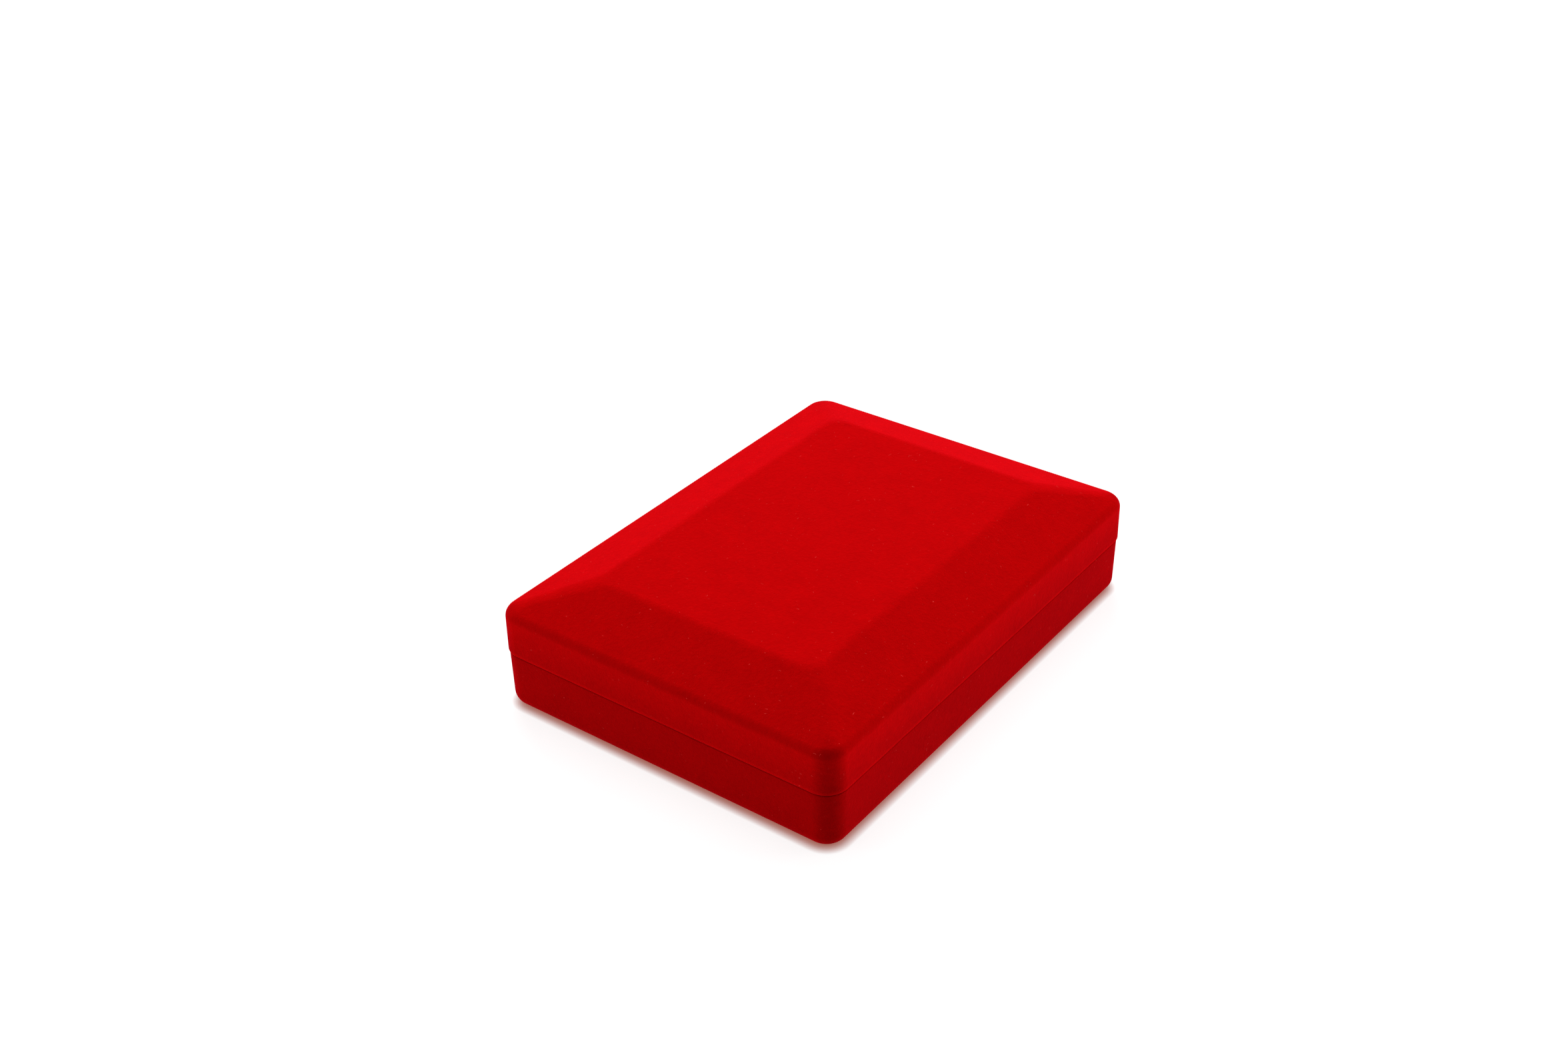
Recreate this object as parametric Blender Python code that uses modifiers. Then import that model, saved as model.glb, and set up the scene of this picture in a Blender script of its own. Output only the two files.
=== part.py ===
"""Flocked pendant box: a two-part moulded case on a snap hinge, with its display pad and lid lining.

Metres, +Z up. The front short side faces -Y and the hinge runs along the back short side at +Y.
The origin is the centre of the underside, on the surface that the box stands on.
"""

import math

import bmesh
import bpy
from mathutils import Matrix, Vector

# Case: outline and heights
CASE_LENGTH = 0.0950
CASE_WIDTH = 0.0700
CASE_HEIGHT = 0.0234
SEAM_HEIGHT = 0.0112
SHOULDER_HEIGHT = 0.0192
PLAN_RADIUS = 0.0042
BOTTOM_RADIUS = 0.0026
SHOULDER_RADIUS = 0.0018
CASE_WALL = 0.0015
LIP_OVERHANG = 0.0002
BASE_TAPER = 0.00015
LID_TAPER = 0.00008
SEAM_GAP = 0.0003
SEAT_GAP = 0.0003

# Lid panel: the flat top and the four slopes round it
PANEL_BORDER = 0.0124
PANEL_BLEND_RADIUS = 0.0050
PANEL_CORNER_RADIUS = 0.0012
INNER_SHOULDER_RADIUS = 0.0006

# Locating rim, which stands up inside the seam on three sides
RIM_THICKNESS = 0.0008
RIM_HEIGHT = 0.0014
RIM_ROOT_DEPTH = 0.0022
RIM_BACK_END = 0.0050
RIM_LEAD_IN = 0.0004
RIM_CHAMFER = 0.0002

# Hinge: leaves rolled round a pin, a cam on the lid's knuckle and a leaf spring that rides it
HINGE_INSET = 0.0015
HINGE_LENGTH = 0.0360
LID_OPEN_ANGLE = math.radians(95.0)
LEAF_THICKNESS = 0.0005
KNUCKLE_RADIUS = 0.0012
PIN_RADIUS = 0.0006
PIN_HEAD_RADIUS = 0.0009
PIN_HEAD_THICKNESS = 0.0004
LID_KNUCKLE_LENGTH = 0.0134
BASE_LEAF_HEIGHT = 0.0087
LID_LEAF_HEIGHT = 0.0060
CAM_RADIUS = 0.00145
ROLL_ANGLE = math.radians(285.0)
SEAT_EDGE = 0.0003
GROOVE_SPARE = 0.00025

# Stakes: moulded pegs with heads melted over the leaves
STAKE_RADIUS = 0.0009
STAKE_HEAD_RADIUS = 0.0016
STAKE_HEAD_THICKNESS = 0.0005
STAKE_HEAD_CHAMFER = 0.00017
STAKE_BURIED = 0.00075
STAKE_SPACING = 0.0260
BASE_STAKE_DROP = 0.0050
LID_STAKE_RISE = 0.0038

# Snap spring and its rivet
SPRING_THICKNESS = 0.0003
SPRING_WIDTH = 0.0080
SPRING_FOOT_DROP = 0.0075
SPRING_RISE = 0.0013
SPRING_TIP_HEIGHT = 0.0007
SPRING_TIP_LEAN = 0.0004
RIVET_RADIUS = 0.0006
RIVET_HEAD_RADIUS = 0.0012
RIVET_HEAD_THICKNESS = 0.0003
RIVET_TAIL_THICKNESS = 0.0002
RIVET_DROP = 0.0050

# Display pad: a folded card platform, a foam sheet and a velvet cover
PAD_SIDE_CLEARANCE = 0.0003
PAD_BACK_SPACE = 0.0030
PAD_CORNER_RADIUS = 0.0022
PLATFORM_CARD = 0.0008
CHAIN_SPACE_HEIGHT = 0.0046
FOAM_THICKNESS = 0.0013
PAD_CROWN = 0.0005
COVER_THICKNESS = 0.0005
COVER_EDGE_RADIUS = 0.0010
COVER_HEM_LIFT = 0.0004
CROWN_REACH_SHARE = 0.75
SLIT_WIDTH = 0.0012
SLIT_LENGTH = 0.0090
SLIT_SIDE_INSET = 0.0110
SLIT_BACK_INSET = 0.0110
SLIT_ANGLE = math.radians(45.0)

# Lid lining: a card, a wadding and a satin cover turned over the card's edge
LINING_CARD = 0.0008
LINING_CORNER_RADIUS = 0.0020
WADDING_EDGE = 0.0006
LINING_CROWN = 0.0010
SATIN_THICKNESS = 0.0004
SATIN_EDGE_RADIUS = 0.0009

# Facets and cuts
CASE_CORNER_STEPS = 9
PAD_CORNER_STEPS = 5
FILLET_STEPS = 5
BLEND_STEPS = 4
CROWN_STEPS = 4
ROUND_SIDES = 24
ROLL_STEPS = 19
OVERRUN = 0.0020
MERGE_DISTANCE = 0.00001
SMOOTH_ANGLE = math.radians(30.0)

# Places that follow from the sizes above
HALF_WIDTH = CASE_WIDTH / 2
HALF_LENGTH = CASE_LENGTH / 2
AXIS_Y = HALF_LENGTH - HINGE_INSET
AXIS_Z = SEAM_HEIGHT
BASE_RIM_Z = SEAM_HEIGHT - SEAM_GAP / 2
LID_RIM_Z = SEAM_HEIGHT + SEAM_GAP / 2
BASE_INNER_INSET = LIP_OVERHANG + CASE_WALL
LEAF_FACE_Y = AXIS_Y - KNUCKLE_RADIUS
LEAF_BACK_Y = LEAF_FACE_Y + LEAF_THICKNESS
SEAT_FACE_Y = LEAF_BACK_Y + SEAT_GAP
SPRING_BACK_Y = LEAF_FACE_Y - SEAT_GAP
SPRING_FACE_Y = SPRING_BACK_Y - SPRING_THICKNESS
RELIEF_RADIUS = KNUCKLE_RADIUS + SEAT_GAP
BORE_RADIUS = KNUCKLE_RADIUS - LEAF_THICKNESS
LEAF_GAP_REACH = max(CAM_RADIUS, KNUCKLE_RADIUS) + SEAT_GAP

CASE_RED = (0.57, 0.0015, 0.0022)
PAD_RED = (0.50, 0.0020, 0.0030)
SATIN_IVORY = (0.86, 0.82, 0.74)
CARD_GREY = (0.62, 0.58, 0.51)
FOAM_WHITE = (0.82, 0.81, 0.78)
WADDING_WHITE = (0.88, 0.87, 0.84)
HINGE_BRASS = (0.72, 0.55, 0.26)
SPRING_STEEL = (0.56, 0.57, 0.58)


def clear_scene():
    for old in list(bpy.data.objects):
        bpy.data.objects.remove(old, do_unlink=True)


def new_collection(name):
    collection = bpy.data.collections.new(name)
    bpy.context.scene.collection.children.link(collection)
    return collection


def new_material(name, colour, roughness, metallic=0.0):
    material = bpy.data.materials.new(name)
    material.use_nodes = True
    shader = material.node_tree.nodes["Principled BSDF"]
    shader.inputs["Base Color"].default_value = (*colour, 1.0)
    shader.inputs["Roughness"].default_value = roughness
    shader.inputs["Metallic"].default_value = metallic
    material.diffuse_color = (*colour, 1.0)
    return material


def move_to(obj, collection):
    for owner in list(obj.users_collection):
        owner.objects.unlink(obj)
    collection.objects.link(obj)
    return obj


def as_cutter(obj):
    move_to(obj, cutters)
    obj.hide_render = True
    obj.display_type = "WIRE"
    return obj


def combine(target, tool, operation):
    """Cuts the tool from the target, or joins it on, with an exact Boolean; the tool follows its target."""
    modifier = target.modifiers.new(operation.title() + " " + tool.name, "BOOLEAN")
    modifier.object = as_cutter(tool)
    tool.parent = target
    modifier.operation = operation
    modifier.solver = "EXACT"


def rounded_ring(half_x, half_y, radius, z, steps, centre_y=0.0):
    """Points of a rounded rectangle at one height, anticlockwise from above."""
    points = []
    corners = ((1, 1), (-1, 1), (-1, -1), (1, -1))
    for turn, (side_x, side_y) in enumerate(corners):
        centre = Vector((side_x * (half_x - radius), centre_y + side_y * (half_y - radius), z))
        for step in range(steps + 1):
            angle = math.pi / 2 * (turn + step / steps)
            points.append(centre + Vector((math.cos(angle), math.sin(angle), 0.0)) * radius)
    return points


def rings_along(profile, half_x, half_y, radius, least_radius, steps, centre_y=0.0):
    """Rounded rectangles that follow a profile of (inset, height) pairs."""
    rings = []
    for inset, z in profile:
        corner = max(radius - inset, least_radius)
        rings.append(rounded_ring(half_x - inset, half_y - inset, corner, z, steps, centre_y))
    return rings


def loft(name, rings, collection, closed=False):
    """A body through the rings: capped at both ends, or a closed band where the last meets the first."""
    bm = bmesh.new()
    loops = [[bm.verts.new(point) for point in ring] for ring in rings]
    pairs = list(zip(loops, loops[1:]))
    if closed:
        pairs.append((loops[-1], loops[0]))
    for lower, upper in pairs:
        for i in range(len(lower)):
            j = (i + 1) % len(lower)
            bm.faces.new((lower[i], lower[j], upper[j], upper[i]))
    if not closed:
        bm.faces.new(loops[0])
        bm.faces.new(loops[-1])
    bmesh.ops.recalc_face_normals(bm, faces=bm.faces)
    mesh = bpy.data.meshes.new(name)
    bm.to_mesh(mesh)
    bm.free()
    obj = bpy.data.objects.new(name, mesh)
    collection.objects.link(obj)
    mesh.shade_smooth()
    mesh.set_sharp_from_angle(angle=SMOOTH_ANGLE)
    return obj


def box(name, x_range, y_range, z_range, collection):
    """A cube primitive stretched between the ranges, with its scale in its mesh."""
    bpy.ops.mesh.primitive_cube_add(size=1.0)
    obj = bpy.context.object
    obj.name = name
    size = Vector([high - low for low, high in (x_range, y_range, z_range)])
    centre = Vector([(high + low) / 2 for low, high in (x_range, y_range, z_range)])
    obj.data.transform(Matrix.Translation(centre) @ Matrix.Diagonal((*size, 1.0)))
    return move_to(obj, collection)


def rod(name, radius, x_range, y, z, collection):
    """A cylinder that lies along X."""
    length = x_range[1] - x_range[0]
    bpy.ops.mesh.primitive_cylinder_add(vertices=ROUND_SIDES, radius=radius, depth=length)
    obj = bpy.context.object
    obj.name = name
    centre = Vector(((x_range[0] + x_range[1]) / 2, y, z))
    obj.data.transform(Matrix.Translation(centre) @ Matrix.Rotation(math.pi / 2, 4, "Y"))
    obj.data.shade_smooth()
    obj.data.set_sharp_from_angle(angle=SMOOTH_ANGLE)
    return move_to(obj, collection)


def turned(name, profile, place, collection):
    """A profile of (radius, height) points, from the top of the axis to its foot, turned about Z."""
    mesh = bpy.data.meshes.new(name)
    points = [(radius, 0.0, height) for radius, height in profile]
    mesh.from_pydata(points, [(i, i + 1) for i in range(len(points) - 1)], [])
    obj = bpy.data.objects.new(name, mesh)
    collection.objects.link(obj)
    screw = obj.modifiers.new("Turn", "SCREW")
    screw.steps = ROUND_SIDES
    screw.render_steps = ROUND_SIDES
    screw.use_merge_vertices = True
    screw.merge_threshold = MERGE_DISTANCE
    obj.matrix_world = place
    return obj


def facing_front(x, y, z):
    """The place of a turned piece whose top faces the front of the box."""
    return Matrix.Translation((x, y, z)) @ Matrix.Rotation(math.pi / 2, 4, "X")


def fillet(radius, start_angle, end_angle, centre_inset, centre_z, steps):
    """Profile points on an arc; an angle of zero points outwards and a right angle points up."""
    points = []
    for step in range(steps + 1):
        angle = start_angle + (end_angle - start_angle) * step / steps
        points.append((centre_inset - radius * math.cos(angle), centre_z + radius * math.sin(angle)))
    return points


def corner_fillet(before, corner, after, radius, steps):
    """Profile points that round the corner between two straight runs."""
    to_before = (Vector(before) - Vector(corner)).normalized()
    to_after = (Vector(after) - Vector(corner)).normalized()
    half_angle = to_before.angle(to_after) / 2
    centre = Vector(corner) + (to_before + to_after).normalized() * (radius / math.sin(half_angle))
    first = Vector(corner) + to_before * (radius / math.tan(half_angle)) - centre
    sweep = first.angle_signed(Vector(corner) + to_after * (radius / math.tan(half_angle)) - centre)
    points = []
    for step in range(steps + 1):
        turn = Matrix.Rotation(-sweep * step / steps, 2)
        points.append(tuple(centre + turn @ first))
    return points


def crown_profile(edge_inset, edge_z, last_inset, height, steps):
    """Profile points that swell from an edge towards the middle like a stuffed pad."""
    points = []
    for step in range(1, steps + 1):
        share = math.sin(math.pi / 2 * step / steps)
        inset = edge_inset + (last_inset - edge_inset) * (1 - math.cos(math.pi / 2 * step / steps))
        points.append((inset, edge_z + height * share))
    return points


def stake(name, x, z, collection):
    """A moulded peg that leaves the back wall, passes a leaf's hole and ends in a melted head."""
    root = HALF_LENGTH - LIP_OVERHANG - STAKE_BURIED
    neck = LEAF_FACE_Y - SEAT_GAP
    tip = neck - STAKE_HEAD_THICKNESS
    profile = [
        (0.0, -tip),
        (STAKE_HEAD_RADIUS - STAKE_HEAD_CHAMFER, -tip),
        (STAKE_HEAD_RADIUS, -tip - STAKE_HEAD_CHAMFER),
        (STAKE_HEAD_RADIUS, -neck),
        (STAKE_RADIUS, -neck),
        (STAKE_RADIUS, -root),
        (0.0, -root),
    ]
    return turned(name, profile, facing_front(x, 0.0, z), collection)


def cut_groove(shell):
    """The V along the back of the seam that lets the lid swing, and stops it when its faces meet."""
    apex = AXIS_Y - GROOVE_SPARE
    depth = HINGE_INSET + GROOVE_SPARE + OVERRUN
    rise = depth * math.tan(LID_OPEN_ANGLE / 2)
    reach = HALF_WIDTH + OVERRUN
    rings = []
    for x in (-reach, reach):
        corners = ((apex, AXIS_Z), (apex + depth, AXIS_Z + rise), (apex + depth, AXIS_Z - rise))
        rings.append([Vector((x, y, z)) for y, z in corners])
    combine(shell, loft(shell.name + "_groove", rings, cutters), "DIFFERENCE")


def cut_knuckle_space(shell):
    """Room for the rolled knuckles and the pin's heads in the back edge."""
    reach = HINGE_LENGTH / 2 + SEAT_GAP * 2 + PIN_HEAD_THICKNESS
    space = rod(shell.name + "_knuckle_space", RELIEF_RADIUS, (-reach, reach), AXIS_Y, AXIS_Z, cutters)
    combine(shell, space, "DIFFERENCE")


def add_hinge_seat(shell, low_z, high_z, stake_z):
    """A raised seat on the back wall with the two stakes that hold a leaf."""
    reach = HINGE_LENGTH / 2 + SEAT_EDGE
    embedded = HALF_LENGTH - LIP_OVERHANG - STAKE_BURIED
    seat = box(shell.name + "_seat", (-reach, reach), (SEAT_FACE_Y, embedded), (low_z, high_z), cutters)
    combine(shell, seat, "UNION")
    for label, side in (("left", -1), ("right", 1)):
        peg = stake(shell.name + "_stake_" + label, side * STAKE_SPACING / 2, stake_z, cutters)
        combine(shell, peg, "UNION")


def case_rings(profile):
    """Outlines of the case along a profile of (inset, height) pairs."""
    return rings_along(profile, HALF_WIDTH, HALF_LENGTH, PLAN_RADIUS, PANEL_CORNER_RADIUS, CASE_CORNER_STEPS)


def make_base_shell():
    """The lower half: rounded foot, tapered walls, and an open top with a locating rim inside it."""
    foot_inset = LIP_OVERHANG + BASE_TAPER
    outer = fillet(BOTTOM_RADIUS, -math.pi / 2, 0.0, foot_inset + BOTTOM_RADIUS, BOTTOM_RADIUS, FILLET_STEPS)
    outer.append((LIP_OVERHANG, BASE_RIM_Z))
    inner_radius = BOTTOM_RADIUS - CASE_WALL
    inner_foot = foot_inset + CASE_WALL + inner_radius
    inner = [(BASE_INNER_INSET, BASE_RIM_Z)]
    inner += reversed(fillet(inner_radius, -math.pi / 2, 0.0, inner_foot, BOTTOM_RADIUS, FILLET_STEPS))
    shell = loft("base_shell", case_rings(outer + inner), parts)

    rim_outer = CASE_WALL + SEAT_GAP
    rim_inner = rim_outer + RIM_THICKNESS
    buried = LIP_OVERHANG + STAKE_BURIED
    root_top = BASE_RIM_Z - SEAM_GAP
    root_foot = BASE_RIM_Z - RIM_ROOT_DEPTH
    rim_top = SEAM_HEIGHT + RIM_HEIGHT
    profile = [
        (buried, root_foot),
        (buried, root_top),
        (rim_outer, root_top),
        (rim_outer, rim_top - RIM_LEAD_IN),
        (rim_outer + RIM_CHAMFER, rim_top),
        (rim_inner, rim_top),
        (rim_inner, root_foot + RIM_THICKNESS),
        (rim_outer, root_foot),
    ]
    rim = loft("locating_rim", case_rings(profile), cutters, closed=True)
    back = HALF_LENGTH - BASE_INNER_INSET - RIM_BACK_END
    reach = (-HALF_WIDTH, HALF_WIDTH)
    past_back = (back, HALF_LENGTH + OVERRUN)
    past_rim = (root_foot - OVERRUN, rim_top + OVERRUN)
    combine(rim, box("locating_rim_end", reach, past_back, past_rim, cutters), "DIFFERENCE")
    combine(shell, rim, "UNION")

    cut_groove(shell)
    seat_top = AXIS_Z - RELIEF_RADIUS - SEAT_EDGE
    seat_foot = AXIS_Z - BASE_LEAF_HEIGHT
    add_hinge_seat(shell, seat_foot, seat_top, AXIS_Z - BASE_STAKE_DROP)
    cut_knuckle_space(shell)
    pocket_depth = SEAT_GAP + RIVET_TAIL_THICKNESS
    pocket_radius = RIVET_HEAD_RADIUS + SEAT_GAP
    pocket_centre = SEAT_FACE_Y + pocket_depth
    profile = [
        (0.0, OVERRUN),
        (pocket_radius, OVERRUN),
        (pocket_radius, 0.0),
        (0.0, 0.0),
    ]
    place = facing_front(0.0, pocket_centre, AXIS_Z - RIVET_DROP)
    combine(shell, turned("rivet_pocket", profile, place, cutters), "DIFFERENCE")
    return shell


def lid_outer_profile():
    """Outside of the lid from the panel's middle edge down the slope and the wall to the rim."""
    panel_edge = (PANEL_BORDER, CASE_HEIGHT)
    flat_point = (HALF_WIDTH, CASE_HEIGHT)
    shoulder = (LID_TAPER, SHOULDER_HEIGHT)
    rim = (0.0, LID_RIM_Z)
    points = corner_fillet(flat_point, panel_edge, shoulder, PANEL_BLEND_RADIUS, BLEND_STEPS)
    points += corner_fillet(panel_edge, shoulder, rim, SHOULDER_RADIUS, FILLET_STEPS)
    points.append(rim)
    return points


def lid_inner_profile():
    """Inside of the lid, one wall thickness in from the outside, from the rim up to the ceiling."""
    slope = math.atan2(CASE_HEIGHT - SHOULDER_HEIGHT, PANEL_BORDER - LID_TAPER)
    slope_drop = CASE_WALL / math.cos(slope)
    ceiling = CASE_HEIGHT - CASE_WALL
    wall_inset = LID_TAPER + CASE_WALL
    corner = (wall_inset, SHOULDER_HEIGHT + CASE_WALL * math.tan(slope) - slope_drop)
    edge_inset = wall_inset + (ceiling - corner[1]) / math.tan(slope)
    edge = (edge_inset, ceiling)
    flat_point = (HALF_WIDTH, ceiling)
    rim = (CASE_WALL, LID_RIM_Z)
    points = [rim]
    points += corner_fillet(rim, corner, edge, INNER_SHOULDER_RADIUS, BLEND_STEPS)
    points += corner_fillet(corner, edge, flat_point, PANEL_BLEND_RADIUS, BLEND_STEPS)
    return points


def make_lid_shell():
    """The upper half: a raised flat panel, four mitred slopes, a rounded shoulder and upright walls."""
    profile = lid_outer_profile() + lid_inner_profile()
    shell = loft("lid_shell", case_rings(profile), parts)
    cut_groove(shell)
    seat_foot = AXIS_Z + RELIEF_RADIUS + SEAT_EDGE
    seat_top = AXIS_Z + LID_LEAF_HEIGHT
    add_hinge_seat(shell, seat_foot, seat_top, AXIS_Z + LID_STAKE_RISE)
    cut_knuckle_space(shell)
    return shell


def leaf_hole(leaf, name, x, z, radius):
    profile = [(0.0, OVERRUN), (radius, OVERRUN), (radius, -OVERRUN), (0.0, -OVERRUN)]
    combine(leaf, turned(name, profile, facing_front(x, LEAF_FACE_Y, z), cutters), "DIFFERENCE")


def rolled_leaf(name, end_z, squared):
    """Sheet whose end is rolled round the pin and back towards itself, with the roll squared for a cam."""
    side = math.copysign(1, end_z - AXIS_Z)
    outer = []
    inner = []
    for step in range(ROLL_STEPS + 1):
        angle = math.pi + ROLL_ANGLE * step / ROLL_STEPS
        across = math.cos(angle)
        away = math.sin(angle)
        radius = KNUCKLE_RADIUS
        if squared and across < 0 and away < 0:
            radius = min(CAM_RADIUS, KNUCKLE_RADIUS / max(-across, -away))
        outer.append((AXIS_Y + radius * across, AXIS_Z + side * radius * away))
        inner.append((AXIS_Y + BORE_RADIUS * across, AXIS_Z + side * BORE_RADIUS * away))
    outline = [(LEAF_FACE_Y, end_z)] + outer + inner[::-1] + [(LEAF_BACK_Y, end_z)]
    rings = []
    for x in (-HINGE_LENGTH / 2, HINGE_LENGTH / 2):
        rings.append([Vector((x, y, z)) for y, z in outline])
    return loft(name, rings, parts)


def make_base_leaf():
    """The leaf staked to the base, with a knuckle at each end and a gap between for the lid's."""
    leaf = rolled_leaf("hinge_base_leaf", AXIS_Z - BASE_LEAF_HEIGHT, squared=False)
    gap_half = LID_KNUCKLE_LENGTH / 2 + SEAT_GAP
    across = (LEAF_FACE_Y - OVERRUN, AXIS_Y + KNUCKLE_RADIUS + OVERRUN)
    above = (AXIS_Z - LEAF_GAP_REACH, AXIS_Z + OVERRUN)
    combine(leaf, box("base_leaf_gap", (-gap_half, gap_half), across, above, cutters), "DIFFERENCE")
    for label, side in (("left", -1), ("right", 1)):
        x = side * STAKE_SPACING / 2
        leaf_hole(leaf, "base_leaf_hole_" + label, x, AXIS_Z - BASE_STAKE_DROP, STAKE_RADIUS + SEAT_GAP)
    leaf_hole(leaf, "base_leaf_rivet_hole", 0.0, AXIS_Z - RIVET_DROP, RIVET_RADIUS + SEAT_GAP)
    return leaf


def make_lid_leaf():
    """The leaf staked to the lid; its middle knuckle is squared below into the cam that snaps."""
    leaf = rolled_leaf("hinge_lid_leaf", AXIS_Z + LID_LEAF_HEIGHT, squared=True)
    across = (LEAF_FACE_Y - OVERRUN, AXIS_Y + KNUCKLE_RADIUS + OVERRUN)
    below = (AXIS_Z - OVERRUN, AXIS_Z + LEAF_GAP_REACH)
    for label, side in (("left", -1), ("right", 1)):
        ends = sorted((side * LID_KNUCKLE_LENGTH / 2, side * (HINGE_LENGTH / 2 + OVERRUN)))
        combine(leaf, box("lid_leaf_gap_" + label, ends, across, below, cutters), "DIFFERENCE")
        x = side * STAKE_SPACING / 2
        leaf_hole(leaf, "lid_leaf_hole_" + label, x, AXIS_Z + LID_STAKE_RISE, STAKE_RADIUS + SEAT_GAP)
    return leaf


def make_pin():
    """The hinge pin, headed at both ends so that it can't creep out."""
    half = HINGE_LENGTH / 2 + SEAT_GAP
    tip = half + PIN_HEAD_THICKNESS
    profile = [
        (0.0, tip),
        (PIN_HEAD_RADIUS, tip),
        (PIN_HEAD_RADIUS, half),
        (PIN_RADIUS, half),
        (PIN_RADIUS, -half),
        (PIN_HEAD_RADIUS, -half),
        (PIN_HEAD_RADIUS, -tip),
        (0.0, -tip),
    ]
    place = Matrix.Translation((0.0, AXIS_Y, AXIS_Z)) @ Matrix.Rotation(math.pi / 2, 4, "Y")
    return turned("hinge_pin", profile, place, parts)


def make_spring():
    """The leaf spring: riveted to the base leaf at its foot, its tip leaning in off the cam."""
    foot = AXIS_Z - SPRING_FOOT_DROP
    bend = AXIS_Z + SPRING_RISE
    tip = bend + SPRING_TIP_HEIGHT
    outline = [
        (SPRING_FACE_Y, foot),
        (SPRING_BACK_Y, foot),
        (SPRING_BACK_Y, bend),
        (SPRING_BACK_Y - SPRING_TIP_LEAN, tip),
        (SPRING_FACE_Y - SPRING_TIP_LEAN, tip),
        (SPRING_FACE_Y, bend),
    ]
    rings = []
    for x in (-SPRING_WIDTH / 2, SPRING_WIDTH / 2):
        rings.append([Vector((x, y, z)) for y, z in outline])
    spring = loft("hinge_spring", rings, parts)
    leaf_hole(spring, "spring_rivet_hole", 0.0, AXIS_Z - RIVET_DROP, RIVET_RADIUS + SEAT_GAP)
    return spring


def make_rivet():
    """The rivet that clamps the spring's foot to the base leaf."""
    head_back = SPRING_FACE_Y - SEAT_GAP
    head_face = head_back - RIVET_HEAD_THICKNESS
    tail_front = LEAF_BACK_Y + SEAT_GAP
    tail_back = tail_front + RIVET_TAIL_THICKNESS
    profile = [
        (0.0, -head_face),
        (RIVET_HEAD_RADIUS, -head_face),
        (RIVET_HEAD_RADIUS, -head_back),
        (RIVET_RADIUS, -head_back),
        (RIVET_RADIUS, -tail_front),
        (RIVET_HEAD_RADIUS, -tail_front),
        (RIVET_HEAD_RADIUS, -tail_back),
        (0.0, -tail_back),
    ]
    return turned("spring_rivet", profile, facing_front(0.0, 0.0, AXIS_Z - RIVET_DROP), parts)


def pad_outline(side_inset):
    """Half sizes and middle of a rounded piece that ends short of the hinge at the back."""
    front = -HALF_LENGTH + side_inset
    back = HALF_LENGTH - BASE_INNER_INSET - PAD_BACK_SPACE
    back -= side_inset - PAD_OUTER_INSET
    return HALF_WIDTH - side_inset, (back - front) / 2, (back + front) / 2


PAD_OUTER_INSET = CASE_WALL + SEAT_GAP + RIM_THICKNESS + PAD_SIDE_CLEARANCE
PLATFORM_INSET = PAD_OUTER_INSET + COVER_THICKNESS + SEAT_GAP
PLATFORM_FOOT = CASE_WALL + SEAT_GAP
PLATFORM_UNDER = PLATFORM_FOOT + CHAIN_SPACE_HEIGHT
PLATFORM_TOP = PLATFORM_UNDER + PLATFORM_CARD
FOAM_FOOT = PLATFORM_TOP + SEAT_GAP
FOAM_EDGE = FOAM_FOOT + FOAM_THICKNESS
CROWN_LAST_INSET = HALF_WIDTH * CROWN_REACH_SHARE


def cut_slits(piece):
    """Two slanted slits at the hinge end, through which the chain goes under the pad."""
    for label, side in (("left", -1), ("right", 1)):
        name = piece.name + "_slit_" + label
        long = (-SLIT_LENGTH / 2, SLIT_LENGTH / 2)
        wide = (-SLIT_WIDTH / 2, SLIT_WIDTH / 2)
        slit = box(name, long, wide, (PLATFORM_UNDER - OVERRUN, SEAM_HEIGHT + OVERRUN), cutters)
        x = side * (HALF_WIDTH - SLIT_SIDE_INSET)
        y = HALF_LENGTH - PAD_BACK_SPACE - SLIT_BACK_INSET
        slit.matrix_world = Matrix.Translation((x, y, 0.0)) @ Matrix.Rotation(-side * SLIT_ANGLE, 4, "Z")
        combine(piece, slit, "DIFFERENCE")


def soft_rings(profile, half_x, half_y, radius, centre_y):
    """Outlines of a card or cloth piece along a profile of (inset, height) pairs."""
    return rings_along(profile, half_x, half_y, radius, PANEL_CORNER_RADIUS, PAD_CORNER_STEPS, centre_y)


def pad_rings(profile, side_inset):
    half_x, half_y, centre_y = pad_outline(side_inset)
    return soft_rings(profile, half_x, half_y, PAD_CORNER_RADIUS, centre_y)


def make_platform():
    """Card folded into a tray that stands upside down on the floor, over the space for the chain."""
    profile = [
        (CROWN_LAST_INSET, PLATFORM_UNDER),
        (PLATFORM_CARD, PLATFORM_UNDER),
        (PLATFORM_CARD, PLATFORM_FOOT),
        (0.0, PLATFORM_FOOT),
        (0.0, PLATFORM_TOP),
        (CROWN_LAST_INSET, PLATFORM_TOP),
    ]
    platform = loft("pad_platform", pad_rings(profile, PLATFORM_INSET), parts)
    cut_slits(platform)
    return platform


def make_foam():
    """A foam sheet on the platform, pressed up into a low crown."""
    last = CROWN_LAST_INSET
    profile = [(last, FOAM_FOOT), (0.0, FOAM_FOOT), (0.0, FOAM_EDGE - FOAM_THICKNESS / 2)]
    profile += crown_profile(0.0, FOAM_EDGE - FOAM_THICKNESS / 2, FOAM_THICKNESS, FOAM_THICKNESS / 2, 2)
    profile += crown_profile(FOAM_THICKNESS, FOAM_EDGE, last, PAD_CROWN, CROWN_STEPS)
    foam = loft("pad_foam", pad_rings(profile, PLATFORM_INSET), parts)
    cut_slits(foam)
    return foam


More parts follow.
